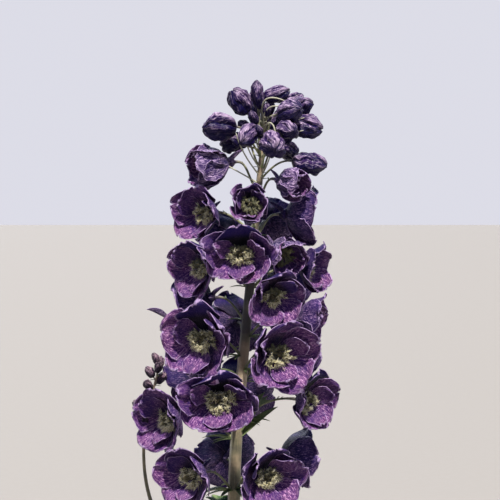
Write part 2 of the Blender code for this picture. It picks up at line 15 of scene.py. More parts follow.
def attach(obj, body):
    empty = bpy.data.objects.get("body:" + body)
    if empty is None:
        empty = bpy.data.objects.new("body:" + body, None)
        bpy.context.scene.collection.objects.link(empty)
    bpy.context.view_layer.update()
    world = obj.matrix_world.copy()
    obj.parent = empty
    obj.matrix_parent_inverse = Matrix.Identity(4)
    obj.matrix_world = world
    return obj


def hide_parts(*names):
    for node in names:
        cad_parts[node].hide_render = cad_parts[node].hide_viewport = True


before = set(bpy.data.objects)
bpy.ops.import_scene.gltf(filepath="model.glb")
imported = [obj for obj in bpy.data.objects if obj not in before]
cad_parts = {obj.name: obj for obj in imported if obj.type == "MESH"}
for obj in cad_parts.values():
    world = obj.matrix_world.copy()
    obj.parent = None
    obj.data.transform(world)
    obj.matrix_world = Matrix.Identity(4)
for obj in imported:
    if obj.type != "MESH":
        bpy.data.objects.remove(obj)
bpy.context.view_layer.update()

MM = 0.001
UP = Vector((0, 0, 1))
GOLDEN = 137.5  # degrees from one bud to the next round a stem

# -------- the plant's measures

POT_HEIGHT = 205
POT_FOOT_RADIUS = 80
POT_TOP_RADIUS = 112
POT_RIM_RADIUS = 120
POT_RIM_HEIGHT = 34
POT_WALL = 7
POT_FLOOR = 9
POT_CORNER = 3.2
POT_ARC = 6  # points on each rounded corner
POT_SIDES = 144
POT_SECTION = 6  # the longest step along the pot's outline
SOIL_TOP = 183
SOIL_MESH = (54, 180)  # rings, and points round each
CRUMBS = 620
CRUMB_SIZE = (0.8, 2.3)
CRUMB_MARGIN = 5
BARK_EVERY, BARK_SIZE = 19, 1.7  # each 19th crumb is a larger one
CRUMB_PROFILE = ((0.35, -0.9), (0.95, -0.35), (0.9, 0.4), (0.4, 0.9))  # radius and height

STEM_FOOT = 150
STEM_TOP = 768
STEM_RADII = ((150, 6.4), (450, 5.7), (600, 4.8), (750, 3.2), (830, 1.7))  # height and radius
LEAN_START = 480
LEAN_BEND = 100
LEAN = 0.091
SPRAY_TIP = 826
BUD_STALK_DROP = 26
GAP = 0.3  # air between neighbouring pieces
STALK_RISE = 48  # the angle at which a flower's or bud's stalk leaves the stem

SEPAL_PER_WIDTH = 0.69
OUTER_HALF_WIDTH = 0.47
INNER_HALF_WIDTH = 0.33
INNER_LENGTH = 0.8
INNER_LIFT = 0.085
CUP_CURL = 0.85
PINWHEEL = 0.06
BASE_DEPTH = 0.15
SEPAL_FOOT = 0.05
LINE_STEPS = 96
# Along a petal, from foot to tip: its share of full width, and its angle to the flower's axis
WIDTH_PROFILE = (
    *((0.0, 0.1), (0.14, 0.22), (0.28, 0.5), (0.42, 0.78), (0.55, 0.95), (0.66, 1.0)),
    *((0.76, 0.965), (0.85, 0.84), (0.92, 0.65), (0.97, 0.43), (1.0, 0.2)),
)
OPEN_SLOPE = ((0.0, 85), (0.3, 62), (0.6, 38), (0.85, 28), (1.0, 42))
SHUT_SLOPE = ((0.0, 80), (0.3, 22), (0.6, -4), (0.85, -24), (1.0, -34))
# Relief of a petal, in shares of its length
RUFFLE = 0.05
LIP_WAVE = 0.024
LIP_FRILL = 0.012
LIP_ROLL = 0.055
MIDRIB = 0.016
NIBBLE = 0.035
SPLIT = 0.075
# Under the cup, in shares of a petal's length: radius and height of the base, and Y and Z of the spur
BASE_PROFILE = ((0.022, -0.149), (0.045, -0.14), (0.085, -0.1), (0.125, -0.05), (0.135, -0.01), (0.08, 0.02))
SPUR_LINE = ((0.05, -0.05), (0.16, -0.12), (0.21, -0.24), (0.26, -0.36))
OUTER_PETALS = 5
PETAL = 0.4  # a petal's thickness
THIN = 0.3  # the same, of a cream petal or a bract
PETAL_MESH = (24, 18)  # rows and columns of an open flower's petal
SIDE_PETAL_MESH = (21, 16)  # the same, on a flower that isn't in front
CRUMPLED_MESH = (36, 28)  # the same, on a half-open flower
FRONT = 80  # the widest azimuth of a flower that counts as in front
HALF_OPEN = 0.6  # petals that open less than this are crumpled

Floret = namedtuple("Floret", "height azimuth reach yaw pitch width tall opening")
FLORET_ROWS = (  # bloom_01 and on; an opening of 1 is wide open
    (587, -16, 66, -5, -4, 68, 52, 1),
    (566, -75, 74, -46, -5, 57, 55, 1),
    (583, 74, 72, 48, -2, 53, 50, 1),
    (636, -41, 65, -24, -8, 62, 67, 1),
    (625, 34, 66, 30, -6, 64, 58, 1),
    (652, 77, 67, 80, -10, 50, 47, 0.9),
    (671, 25, 60, 25, -16, 52, 50, 1),
    (696, -70, 58, -46, -8, 52, 51, 1),
    (709, -12, 58, -6, -6, 58, 47, 1),
    (704, 42, 51, 38, -20, 50, 45, 0.5),
    (696, 83, 62, 66, -5, 47, 44, 0.9),
    (743, -76, 57, -42, -4, 53, 48, 0.95),
    (741, 97, 51, 92, -4, 55, 55, 0.85),
    (753, -8, 48, 0, 8, 39, 44, 0.62),
    (766, 52, 47, 56, -14, 44, 39, 0.35),
    (782, -84, 60, -70, -9, 61, 54, 0.38),
    (602, -129, 64, -124, -4, 62, 58, 1),
    (585, 178, 64, 178, -4, 60, 54, 1),
    (615, 130, 64, 130, -6, 58, 54, 1),
    (668, -115, 60, -112, -6, 54, 50, 1),
    (645, -168, 60, -168, -6, 56, 54, 1),
    (675, 146, 58, 146, -8, 54, 50, 1),
    (722, -145, 54, -145, -5, 50, 48, 0.95),
    (735, 165, 52, 168, -4, 48, 46, 0.9),
    (521, -45, 66, -42, -6, 60, 54, 1),
    (522, 32, 66, 30, -6, 60, 54, 1),
    (527, 108, 66, 108, -6, 58, 54, 1),
    (524, -172, 66, -172, -6, 58, 54, 1),
)
FLORETS = [Floret(*row) for row in FLORET_ROWS]
NO_BEE_BELOW = 0.45  # the least opening of a flower with a bee, which is its cream centre
BEE_SIZED_FOR = 44  # the petal length at which the sizes in a bee hold
BEE_PETALS = 17
BEE_MESH = (8, 7)
HAIRS = 7  # in a tuft
HAIR_LENGTH, HAIR_WIDTH = (2.6, 5.8), (0.24, 0.42)
STAMENS = 16
ANTHER_PROFILE = ((0.15, -0.9), (0.7, -0.4), (0.75, 0.3), (0.2, 0.9))  # radius and height
SHADED_BEES = {5, 7, 8, 9, 14}  # painted shade: green-black in their upper half

TOP_BUDS = (  # height, azimuth, reach, yaw, pitch, length, width
    (817, -76, 39, -80, -4, 28, 23),
    (839, -74, 24, -50, 46, 25, 18),
    (845, -60, 9, -25, 74, 24, 13),
    (846, 70, 8, 74, 16, 23, 14),
    (841, 112, 24, 100, 26, 20, 14),
    (835, 88, 29, 84, 16, 22, 17),
    (818, 80, 36, 82, -8, 27, 21),
    (830, 42, 30, 52, 5, 23, 18),
    (810, -30, 26, -34, -34, 24, 16),
    (802, 15, 33, 12, -26, 25, 22),
    (815, 36, 33, 38, -12, 21, 16),
    (787, 84, 41, 88, -8, 29, 21),
    (799, 134, 29, 132, -20, 24, 18),
    (805, -122, 31, -124, -16, 23, 17),
    (826, 176, 27, 176, 4, 22, 17),
    (842, -150, 18, -150, 44, 19, 14),
)
BUD_PROFILE = (  # share of a bud's length, and radius in shares of its width
    *((0, 0.13), (0.05, 0.3), (0.15, 0.42), (0.3, 0.49), (0.5, 0.53)),
    *((0.68, 0.52), (0.82, 0.45), (0.92, 0.33), (0.97, 0.22), (1, 0.12)),
)
BUD_MESH = (30, 76)  # rows, and columns round a bud
SMALL_BUD_MESH = (18, 44)
INNER_BUDS = 15
TIP_ARCS = (  # height on the stem, then the three other points of each bend
    (822, (19, -12, 843), (30, -18, 846), (46, -17, 838)),
    (818, (22, -15, 834), (34, -21, 840), (50, -19, 830)),
    (812, (26, -22, 825), (36, -26, 823), (35, -25, 808)),
    (806, (34, -12, 815), (48, -20, 822), (60, -18, 825)),
    (800, (34, -14, 806), (46, -22, 812), (59, -20, 814)),
    (776, (12, -8, 788), (6, -14, 798), (2, -14, 812)),
    (782, (15, -10, 791), (10, -16, 802), (9, -17, 812)),
    (773, (27, -10, 782), (31, -14, 790), (33, -14, 802)),
    (769, (8, -4, 778), (-6, -4, 784), (-16, -4, 792)),
)
LONG_BRACTS = (  # height on the stem, azimuth, rise, length, width, droop, roll
    (552, 62, 56, 54, 10, 0.16, 65),
    (548, 80, 46, 52, 9, 0.14, 50),
    (566, 52, 40, 46, 8, 0.22, 75),
    (556, 100, 58, 46, 10, 0.12, 60),
    (598, -58, 40, 30, 6, 0.2, 60),
)
CURLED_TIP = ((-56, -33, 656), (-0.78, -0.12, 0.62), 22, 6, 0.28, 70)  # root, way, then as above
BRACT_MESH = (9, 5)

SIDE_ROUTE = ((-6.6, 2.2, 405), (-42, 34, 438), (-73, 37, 486), (-79, 20, 545), (-65, 2, 611))
SIDE_RADII = ((0, 2.4), (0.25, 2.1), (0.5, 1.7), (0.75, 1.3), (1, 0.8))  # share of the route, and radius
SIDE_BUDS = 11
SIDE_BUD_START = 0.8
SIDE_BUD_LENGTH = 13.5

STEM_LEAVES = (  # height, azimuth, stalk length, leaf length, rise
    (318, 40, 66, 58, 10),
    (352, 175, 58, 54, 8),
    (396, -62, 46, 46, 8),
    (434, 70, 36, 40, 8),
    (470, -160, 26, 34, 6),
)
BASAL_LEAVES = (  # azimuth, stalk run, blade height, leaf length
    (10, 132, 246, 74),
    (70, 124, 282, 70),
    (130, 136, 250, 76),
    (190, 122, 286, 70),
    (250, 134, 244, 74),
    (310, 126, 280, 72),
)
LOBE_REACH = ((0.0, 1.0), (0.4, 0.68), (0.8, 0.76), (1.0, 0.32))  # from a lobe's rib to its side
LOBE_RAYS = 28
LEAF_STEPS = 16
STALK_STEPS = 24
LEAF = 0.5  # a leaf's thickness
CROWN_RADIUS = 15
CROWN_TOP = 202

# The front view: scale at the stem, eye point and the frame's middle
PIXEL = 0.86 * MM
FRAME_PIXELS = 500
SENSOR = 36  # millimetres
EYE = Vector((13.8, -1400, 746.8)) * MM
AIM = Vector((13.8, 0, 712.4)) * MM

# Light: a high key from the front, a soft weak one from behind, and a pale room that is darker overhead
LIGHTS = (  # name, azimuth, elevation, softness, power, colour
    ("key", 8, 59, 4, 7.2, (1.0, 0.95, 0.88)),
    ("back", 195, 32, 40, 1.3, (0.90, 0.93, 1.0)),
)
ROOM = ((0.13, (0.72, 0.72, 0.80, 1)), (0.24, (0.09, 0.14, 0.38, 1)))  # height in the room, colour
FLOOR_TONES = ((0.285, 0.268, 0.235), (0.28, 0.262, 0.228))
FLOOR_HALF = 80  # metres


# -------- shape tools


def vary(*keys):
    """A fixed number from -1 to 1 for these keys."""
    total = sum(key * step for key, step in zip(keys, (12.9898, 78.233, 37.719)))
    return 2 * (sin(total) * 43758.5453 % 1) - 1


def seeded(*keys):
    """Random draws that are the same in each run for these keys."""
    return np.random.default_rng([int(abs(key)) for key in keys])


def towards(yaw, pitch=0.0):
    a, e = radians(yaw), radians(pitch)
    return Vector((sin(a) * cos(e), -cos(a) * cos(e), sin(e)))


def upright_frame(origin, facing):
    side = UP.cross(facing).normalized()
    turn = Matrix((side, facing.cross(side), facing)).transposed().to_4x4()
    return Matrix.Translation(origin) @ turn


def moved(points, pose):
    return points @ np.array(pose.to_3x3()).T + np.array(pose.translation)


def bezier(points, count):
    made = []
    for i in range(count + 1):
        t = i / count
        weights = ((1 - t) ** 3, 3 * t * (1 - t) ** 2, 3 * t * t * (1 - t), t**3)
        made.append(sum((p * w for p, w in zip(points, weights)), Vector()))
    return made


def along(points, share):
    """A point on the smooth curve through points, at a share of its length."""
    spot = share * (len(points) - 1)
    i = min(int(spot), len(points) - 2)
    f = spot - i
    a, b, c, d = points[max(i - 1, 0)], points[i], points[i + 1], points[min(i + 2, len(points) - 1)]
    return 0.5 * (2 * b + (c - a) * f + (2 * a - 5 * b + 4 * c - d) * f * f + (3 * b - a - 3 * c + d) * f**3)


def taper(count, places, radii):
    """Radii at count points, from the radii at a few places among them."""
    return np.interp(range(count), places, radii)


def lookup(table, values):
    """Piecewise-linear table of (t, value), read at an array of t."""
    return np.interp(values, [t for t, _ in table], [v for _, v in table])


def ease(values, low, high):
    share = np.clip((values - low) / (high - low), 0, 1)
    return share * share * (3 - 2 * share)


def waves(points, size, key, octaves):
    """Smooth unevenness over 3-D points, mostly from -1 to 1: sines in fixed random directions."""
    pick = seeded(key, 17)
    total = np.zeros(points.shape[:-1])
    strength, scale = 1.0, tau / size
    for _ in range(octaves):
        for _ in range(3):
            direction = pick.normal(size=3)
            direction /= np.linalg.norm(direction)
            total += strength / 3 * np.sin(points @ direction * scale + pick.uniform(0, tau))
        strength *= 0.5
        scale *= 2.1
    return total


def turns_round(count):
    return np.linspace(0, tau, count, endpoint=False)


def ring(radius, turns, height):
    """Points round the Z axis; the radius may change with the turn."""
    return np.stack([radius * np.cos(turns), radius * np.sin(turns), np.full(len(turns), height)], axis=1)


def patch(rows, columns):
    """Shares along a blade, 0 to 1, and across it, -1 to 1, at each point of its grid."""
    return np.meshgrid(np.linspace(0, 1, rows), np.linspace(-1, 1, columns), indexing="ij")


def steer(values, direction):
    """Steps of these lengths in one direction."""
    return values[..., None] * np.array(direction)


def add_object(name, data):
    made = bpy.data.objects.new(name, data)
    bpy.context.scene.collection.objects.link(made)
    return made


def quads(at):
    """The four-sided faces of a grid of point numbers."""
    return np.stack([at[:-1, :-1], at[:-1, 1:], at[1:, 1:], at[1:, :-1]], axis=2).reshape(-1, 4)


class Build:
    """Collects grids into one mesh, with a UV for each point and a material slot for each face."""

    def __init__(self):
        self.points, self.uvs, self.faces, self.slots, self.tints_and_shades = [], [], [], [], []
        self.count = 0

    def _add(self, points, uvs, faces, slots, tint_and_shade):
        points = np.asarray(points, float).reshape(-1, 3)
        self.points.append(points)
        self.uvs.append(np.asarray(uvs, float).reshape(-1, 2))
        self.tints_and_shades.append(np.full(len(points), tint_and_shade))
        self.faces += [[self.count + i for i in face] for face in faces]
        self.slots += slots
        self.count += len(points)

    def sheet(self, grid, t, s, thickness, slots, tint_and_shade=0.5):
        """A blade from its middle surface and its shares; slots are for its front, back and edge."""
        normal = np.cross(np.gradient(grid, axis=1), np.gradient(grid, axis=0))
        normal /= np.maximum(np.linalg.norm(normal, axis=2, keepdims=True), 1e-12)
        half = normal * thickness / 2
        back = t.size
        at = np.arange(back).reshape(t.shape)
        front = quads(at)
        rim = np.concatenate([at[0], at[1:, -1], at[-1, -2::-1], at[-2:0:-1, 0]])
        after = np.roll(rim, -1)
        edge = np.stack([after, rim, rim + back, after + back], axis=1)
        faces = np.concatenate([front, front[:, ::-1] + back, edge]).tolist()
        slots = np.repeat(slots, (len(front), len(front), len(edge))).tolist()
        self._add([grid + half, grid - half], [np.stack([(s + 1) / 2, t], axis=2)] * 2, faces, slots, tint_and_shade)

    def loft(self, rings, slot=0, tint_and_shade=0.5, capped=True):
        """A skin through rings of equal count, closed at both ends if capped."""
        rings = np.asarray(rings, float)
        total, count = rings.shape[:2]
        at = np.arange(total * count).reshape(total, count)
        faces = quads(np.hstack([at, at[:, :1]])).tolist()
        if capped:
            faces += [at[0, ::-1].tolist(), at[-1].tolist()]
        u, v = np.meshgrid(np.arange(count) / count, np.arange(total) / (total - 1))
        self._add(rings, np.stack([u, v], axis=2), faces, [slot] * len(faces), tint_and_shade)

    def tube(self, path, radii, sides, slot=0, tint_and_shade=0.5, ridge=0.0):
        """A rod along a path, with soft ridges along it if asked."""
        turns = turns_round(sides)
        swell = 1 + ridge * np.cos(7 * turns)
        rings, across = [], Vector((0.3, 1, 0.2))
        for i, (point, radius) in enumerate(zip(path, radii)):
            ahead = (path[min(i + 1, len(path) - 1)] - path[max(i - 1, 0)]).normalized()
            across = (across - ahead * across.dot(ahead)).normalized()
            axes = np.array([across, ahead.cross(across), ahead])
            rings.append(ring(radius * swell, turns, 0) @ axes + np.array(point))
        self.loft(rings, slot, tint_and_shade)

    def spike(self, root, tip, width, slot, tint_and_shade):
        """A fine hair: a thin three-sided point."""
        ahead = (tip - root).normalized()
        across = ahead.orthogonal().normalized()
        other = ahead.cross(across)
        base = [root + width * (across * cos(a) + other * sin(a)) for a in turns_round(3)]
        faces = [(0, 1, 3), (1, 2, 3), (2, 0, 3)]
        self._add(base + [tip], [(0, 0)] * 3 + [(0, 1)], faces, [slot] * 3, tint_and_shade)

    def piece(self, name, paints, slot, node, pose=Matrix()):
        """One finished mesh. It stands for a CAD node and rides on the one body; the slot argument is not
        used.
        """
        mesh = bpy.data.meshes.new(name)
        mesh.from_pydata((moved(np.concatenate(self.points), pose) * MM).tolist(), [], self.faces)
        for paint in paints:
            mesh.materials.append(PAINTS[paint])
        mesh.polygons.foreach_set("material_index", self.slots)
        loops = np.empty(len(mesh.loops), int)
        mesh.loops.foreach_get("vertex_index", loops)
        mesh.uv_layers.new(name="UVMap").data.foreach_set("uv", np.concatenate(self.uvs)[loops].ravel())
        # A per-point value for the paints: random tone on some pieces, and the mask of painted shade and
        # painted highlight on petals, bees, hairs and buds.
        tint_and_shade = mesh.attributes.new("tint_and_shade", "FLOAT", "POINT")
        tint_and_shade.data.foreach_set("value", np.concatenate(self.tints_and_shades).astype(np.float32))
        mesh.shade_smooth()
        mesh.update()
        made = add_object(name, mesh)
        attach(made, "root")
        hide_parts(node)


# -------- materials


class Paint:
    """One Principled material, with short calls for the nodes that feed it."""

    def __init__(self, name, roughness, **inputs):
        self.material = bpy.data.materials.new(name)
        self.material.use_nodes = True
        self.nodes = self.material.node_tree.nodes
        self.links = self.material.node_tree.links
        self.object_space = self.node("TexCoord", "Object")
        self.uv_space = self.node("TexCoord", "UV")
        self.base = None  # the colour so far
        self.shade(Roughness=roughness, **inputs)

    def put(self, socket, value):
        """Links another node's output to the socket, or sets the socket's own value."""
        if isinstance(value, bpy.types.NodeSocket):
            self.links.new(value, socket)
        else:
            socket.default_value = (*value, 1) if socket.type == "RGBA" else value

    def fill(self, node, inputs):
        for key, value in inputs.items():
            self.put(node.inputs[key.replace("_", " ")], value)

    def shade(self, **inputs):
        self.fill(self.nodes["Principled BSDF"], inputs)
        return self.material

    def node(self, kind, output=0, settings=(), **inputs):
        """The output of a new node with these (name, value) settings and inputs."""
        made = self.nodes.new("ShaderNode" + kind)
        for key, value in settings:
            setattr(made, key, value)
        self.fill(made, inputs)
        return made.outputs[output]

    def noise(self, scale, detail=4.0, roughness=0.55, distortion=0.0, space=None):
        inputs = {"Scale": scale, "Detail": detail, "Roughness": roughness, "Distortion": distortion}
        return self.node("TexNoise", "Fac", Vector=space or self.object_space, **inputs)

    def cells(self, scale, feature="F1"):
        settings = [("feature", feature)]
        return self.node("TexVoronoi", "Distance", settings, Vector=self.object_space, Scale=scale)

    def streaks(self, across, along, detail=4.0, roughness=0.6):
        """Noise drawn out along the surface's length: counts of patches across and along it."""
        space = self.node("Mapping", Vector=self.uv_space, Scale=(across, along, 1))
        return self.noise(1.0, detail, roughness, 0.3, space)

    def bands(self, scale, distortion, detail, detail_scale, space=None, direction="X"):
        inputs = {"Scale": scale, "Distortion": distortion, "Detail": detail, "Detail_Scale": detail_scale}
        settings = [("bands_direction", direction)]
        return self.node("TexWave", "Fac", settings, Vector=space or self.uv_space, **inputs)

    def math(self, operation, *values):
        made = self.nodes.new("ShaderNodeMath")
        made.operation = operation
        for socket, value in zip(made.inputs, values):
            self.put(socket, value)
        return made.outputs[0]

    def times(self, first, *others):
        for value in others:
            first = self.math("MULTIPLY", first, value)
        return first

    def plus(self, first, second):
        return self.math("ADD", first, second)

    def ramp(self, value, *stops):
        """A colour ramp; each stop is (position, colour or grey)."""
        made = self.nodes.new("ShaderNodeValToRGB")
        self.put(made.inputs["Fac"], value)
        bar = made.color_ramp.elements
        while len(bar) < len(stops):
            bar.new(0.5)
        for element, (position, colour) in zip(bar, stops):
            element.position = position
            element.color = (*colour, 1) if hasattr(colour, "__len__") else (colour, colour, colour, 1)
        return made.outputs["Color"]

    def mix(self, amount, a, b):
        made = self.nodes.new("ShaderNodeMix")
        made.data_type = "RGBA"
        for index, value in ((0, amount), (6, a), (7, b)):
            self.put(made.inputs[index], value)
        return made.outputs[2]

    def layer(self, colour, amount, *stops):
        """Lays a colour over the base: by this amount, or by the amount's ramp where stops are given."""
        self.base = self.mix(self.ramp(amount, *stops) if stops else amount, self.base, colour)

    def coordinate(self, axis, space=None):
        return self.node("SeparateXYZ", axis, Vector=space or self.uv_space)

    # Reads the per-point value: random tone, or the mask of painted shade and painted highlight.
    def tint_and_shade(self):
        return self.node("Attribute", "Fac", [("attribute_name", "tint_and_shade")])

    def done(self, relief, strength, distance, **inputs):
        """The finished material, with its base colour, a bump from the relief and other linked inputs."""
        bump = self.node("Bump", Height=relief, Strength=strength, Distance=distance)
        return self.shade(Base_Color=self.base, Normal=bump, **inputs)


CUP_SHADE = (0.003, 0.005, 0.006)  # painted shade: the green-black bottom of a cup
SATIN = {"Sheen_Roughness": 0.35, "Specular_IOR_Level": 0.16}


def petal_paint(name, dark, middle, light, fleck, sheen=0.06, fine=0.5, shade=((0, 0.95), (0.62, 0))):
    """Velvety petal skin: veins that fan out from the foot, pale flecks between them, painted glints, painted
    shade at the foot and on the upper petals, and a painted highlight along the edges.
    """
    paint = Paint(name, 0.45, Sheen_Weight=sheen, Sheen_Tint=(0.8, 0.62, 1.0), **SATIN)
    along = paint.coordinate("Y")
    aside = paint.math("ABSOLUTE", paint.math("SUBTRACT", paint.coordinate("X"), 0.5))
    veins = paint.math("POWER", paint.bands(10.0, 1.6, 4.0, 3.0), 2.5)
    crinkle = paint.mix(fine, paint.noise(480, 6, 0.7, 0.8), paint.streaks(34, 5))
    # Painted glints: specks of a paler fleck colour where the spark streaks are high, and dark specks where
    # they are low.
    spark = paint.streaks(40, 9, 3.0, 0.75)
    glint = [min(1, 1.7 * share) for share in fleck]
    # Darker towards the foot: painted shade in the cup shade colour at the very foot, then the dark tone,
    # partly the petal's own colour and partly painted shade, then the middle and light tones out to the tip.
    paint.base = paint.ramp(along, (0, CUP_SHADE), (0.2, dark), (0.44, middle), (0.86, light))
    paint.layer(light, aside, (0.2, 0), (0.5, 0.6))
    paint.layer(dark, paint.times(veins, 0.6))
    paint.layer(fleck, crinkle, (0.5, 0), (0.62, 0.95))
    paint.layer(glint, spark, (0.57, 0), (0.63, 0.85))
    paint.layer(dark, spark, (0.38, 0.7), (0.45, 0))
    paint.layer(dark, paint.noise(75), (0.38, 0.5), (0.56, 0))
    # Painted shade: where the tint value is low, on the upper petals, the foot turns to the cup shade colour
    # and the rest to the dark tone; the shade stops choose which tint values go dark.
    paint.layer(paint.ramp(along, (0, CUP_SHADE), (0.4, CUP_SHADE), (0.64, dark)), paint.tint_and_shade(), *shade)
    # Painted highlight: a pale lilac line along the petal's sides and tip, broken up by noise, standing in
    # for bright glints on the edges.
    tip = paint.ramp(along, (0.955, 0), (0.975, 1))
    edge_highlight = paint.math("MAXIMUM", paint.ramp(aside, (0.47, 0), (0.49, 1)), tip)
    ragged = paint.ramp(paint.noise(240, 3), (0.4, 0), (0.52, 0.95))
    paint.layer((0.46, 0.33, 0.55), paint.times(edge_highlight, ragged, paint.ramp(along, (0.3, 0), (0.5, 1))))
    relief = paint.plus(paint.times(veins, 0.15), paint.plus(crinkle, paint.times(spark, 0.6)))
    return paint.done(relief, 1.0, 0.0011, Roughness=paint.ramp(crinkle, (0.3, 0.6), (0.7, 0.36)))


def plain_paint(name, first, second, scale, roughness, bump=0.3):
    """Two close tones broken up by noise, with fine relief."""
    paint = Paint(name, roughness)
    paint.base = paint.mix(paint.ramp(paint.noise(scale, 6, 0.6), (0.35, 0), (0.66, 1)), first, second)
    return paint.done(paint.noise(scale * 2.5, 5), bump, 0.0004)


def bud_paint(name, deep, body, shine, stalk_end):
    """Bud skin: satin folds, with painted shade in the creases and on the undersides and pink-grey painted
    highlights streaked along each fold's crest.
    """
    paint = Paint(name, 0.34, Sheen_Weight=0.04, Sheen_Tint=(0.9, 0.72, 1.0), **SATIN)
    crest = paint.tint_and_shade()
    grain = paint.mix(0.8, paint.noise(620, 6, 0.7), paint.streaks(46, 4))
    patch = paint.noise(110, 3)
    streak = paint.bands(14.0, 1.4, 3.0, 2.0)
    # Painted highlight and shade: where the tint value is high, on upward fold crests, the shine is laid on;
    # where it is low, in creases and on undersides, the deep colour.
    high = paint.ramp(crest, (0.5, 0), (0.95, 1))
    lit = paint.ramp(crest, (0.08, 0.08), (0.45, 1))
    paint.base = paint.ramp(paint.coordinate("Y"), (0, stalk_end), (0.16, body), (0.8, body), (1, deep))
    paint.layer(deep, crest, (0.15, 1), (0.62, 0))
    paint.layer(shine, paint.times(high, paint.ramp(patch, (0.38, 0.15), (0.6, 1)), 0.5))
    paint.layer(deep, paint.times(paint.math("POWER", streak, 3.0), 0.5))
    paint.layer(shine, paint.times(paint.ramp(grain, (0.51, 0), (0.62, 0.75)), lit))
    paint.layer(deep, patch, (0.32, 0.7), (0.44, 0))
    return paint.done(paint.plus(grain, paint.times(streak, 0.5)), 0.6, 0.0007)


def bee_paint():
    """Cream petal tips over an olive-brown heart."""
    paint = Paint("bee_cream", 0.75, Sheen_Weight=0.3)
    fleck = paint.noise(650, 4, 0.7)
    heart, low = (0.012, 0.012, 0.006), (0.06, 0.055, 0.025)
    middle, tip = (0.2, 0.18, 0.085), (0.42, 0.39, 0.22)
    paint.base = paint.ramp(paint.coordinate("Y"), (0, heart), (0.35, low), (0.7, middle), (1, tip))
    paint.layer((0.06, 0.052, 0.025), fleck, (0.4, 0.75), (0.58, 0))
    # Painted shade: low tint values turn the cream to dark olive.
    paint.layer((0.032, 0.038, 0.018), paint.tint_and_shade(), (0, 0.92), (0.7, 0))
    return paint.done(fleck, 0.5, 0.0004)


def hair_paint():
    """The beard's cream hairs: olive at the root, nearly white at the tip."""
    paint = Paint("cream_hair", 0.7, Specular_IOR_Level=0.3)
    root, middle, tip = (0.26, 0.23, 0.1), (0.72, 0.66, 0.4), (0.9, 0.88, 0.76)
    paint.base = paint.ramp(paint.coordinate("Y"), (0, root), (0.35, middle), (1, tip))
    # Painted shade: low tint values, on the upper half of a bee and on random hairs, turn the hair dark
    # olive.
    paint.layer((0.055, 0.062, 0.026), paint.tint_and_shade(), (0.12, 0.92), (0.3, 0))
    paint.layer((0.3, 0.26, 0.13), paint.noise(500, 3), (0.4, 0.35), (0.55, 0))
    return paint.shade(Base_Color=paint.base)


def leaf_paint(name, light, dark, vein):
    """A leaf's skin, with pale veins from its stalk and a fine pebbled surface."""
    paint = Paint(name, 0.55, Specular_IOR_Level=0.2, Subsurface_Weight=0.08, Subsurface_Scale=0.2)
    paint.shade(Subsurface_Radius=(0.002, 0.006, 0.001))
    grain = paint.noise(160, 6, 0.6)
    swing = paint.math("SINE", paint.times(paint.coordinate("X"), pi * 5))
    rib = paint.math("SUBTRACT", 1.0, paint.math("ABSOLUTE", swing))
    rib = paint.ramp(rib, (0, 1), (0.1, 0))
    paint.base = paint.mix(paint.ramp(grain, (0.32, 0), (0.68, 1)), dark, light)
    paint.layer(vein, rib)
    paint.layer(vein, paint.cells(260, "DISTANCE_TO_EDGE"), (0, 0.5), (0.08, 0))
    paint.layer((0.2, 0.22, 0.06), paint.coordinate("Y"), (0.75, 0), (1.0, 0.35))
    relief = paint.math("SUBTRACT", grain, paint.times(rib, 0.8))
    return paint.done(relief, 0.5, 0.0006, Roughness=paint.ramp(grain, (0.3, 0.68), (0.7, 0.48)))


def stem_paint():
    """Tan-olive stem with fine lengthwise streaks, a pale tan zone of painted sunlight and a dark band of
    painted shade above it.
    """
    paint = Paint("stem_skin", 0.5, Sheen_Weight=0.25)
    streak = paint.bands(7.0, 2.5, 4.0, 3.0)
    blotch = paint.noise(45, 5, 0.65)
    height = paint.coordinate("Z", paint.object_space)
    ragged = paint.plus(height, paint.times(blotch, 0.05))
    # Painted light: a pale tan band below the shaded one, standing in for sunlight on the stem.
    sunlit_tan = paint.mix(paint.ramp(blotch, (0.4, 0), (0.6, 1)), (0.42, 0.3, 0.18), (0.82, 0.65, 0.45))
    paint.base = paint.mix(paint.times(streak, 0.6), (0.155, 0.135, 0.075), (0.06, 0.062, 0.03))
    paint.layer((0.3, 0.225, 0.14), blotch, (0.48, 0), (0.62, 0.75))
    paint.layer((0.045, 0.04, 0.03), blotch, (0.36, 0.8), (0.48, 0))
    # Painted shade: a dark band where the flowers above shade the stem.
    paint.layer((0.028, 0.026, 0.026), ragged, (0.66, 0), (0.672, 0.85), (0.735, 0.85), (0.775, 0))
    # The pale tan band of painted sunlight.
    paint.layer(sunlit_tan, ragged, (0.585, 0), (0.605, 0.8), (0.648, 0.8), (0.658, 0))
    paint.layer((0.3, 0.21, 0.14), height, (0.75, 0), (0.78, 0.55))
    return paint.done(paint.plus(streak, paint.noise(500)), 0.4, 0.0004)


def pedicel_paint():
    """Flower stalks: green, flushed violet towards the flower."""
    paint = Paint("pedicel_skin", 0.5, Sheen_Weight=0.3)
    grain = paint.noise(300, 5)
    root, middle, end = (0.19, 0.2, 0.08), (0.13, 0.13, 0.06), (0.07, 0.045, 0.075)
    paint.base = paint.ramp(paint.coordinate("Y"), (0, root), (0.6, middle), (1, end))
    paint.layer((0.34, 0.34, 0.2), grain, (0.4, 0), (0.7, 0.6))
    return paint.done(grain, 0.4, 0.0004)


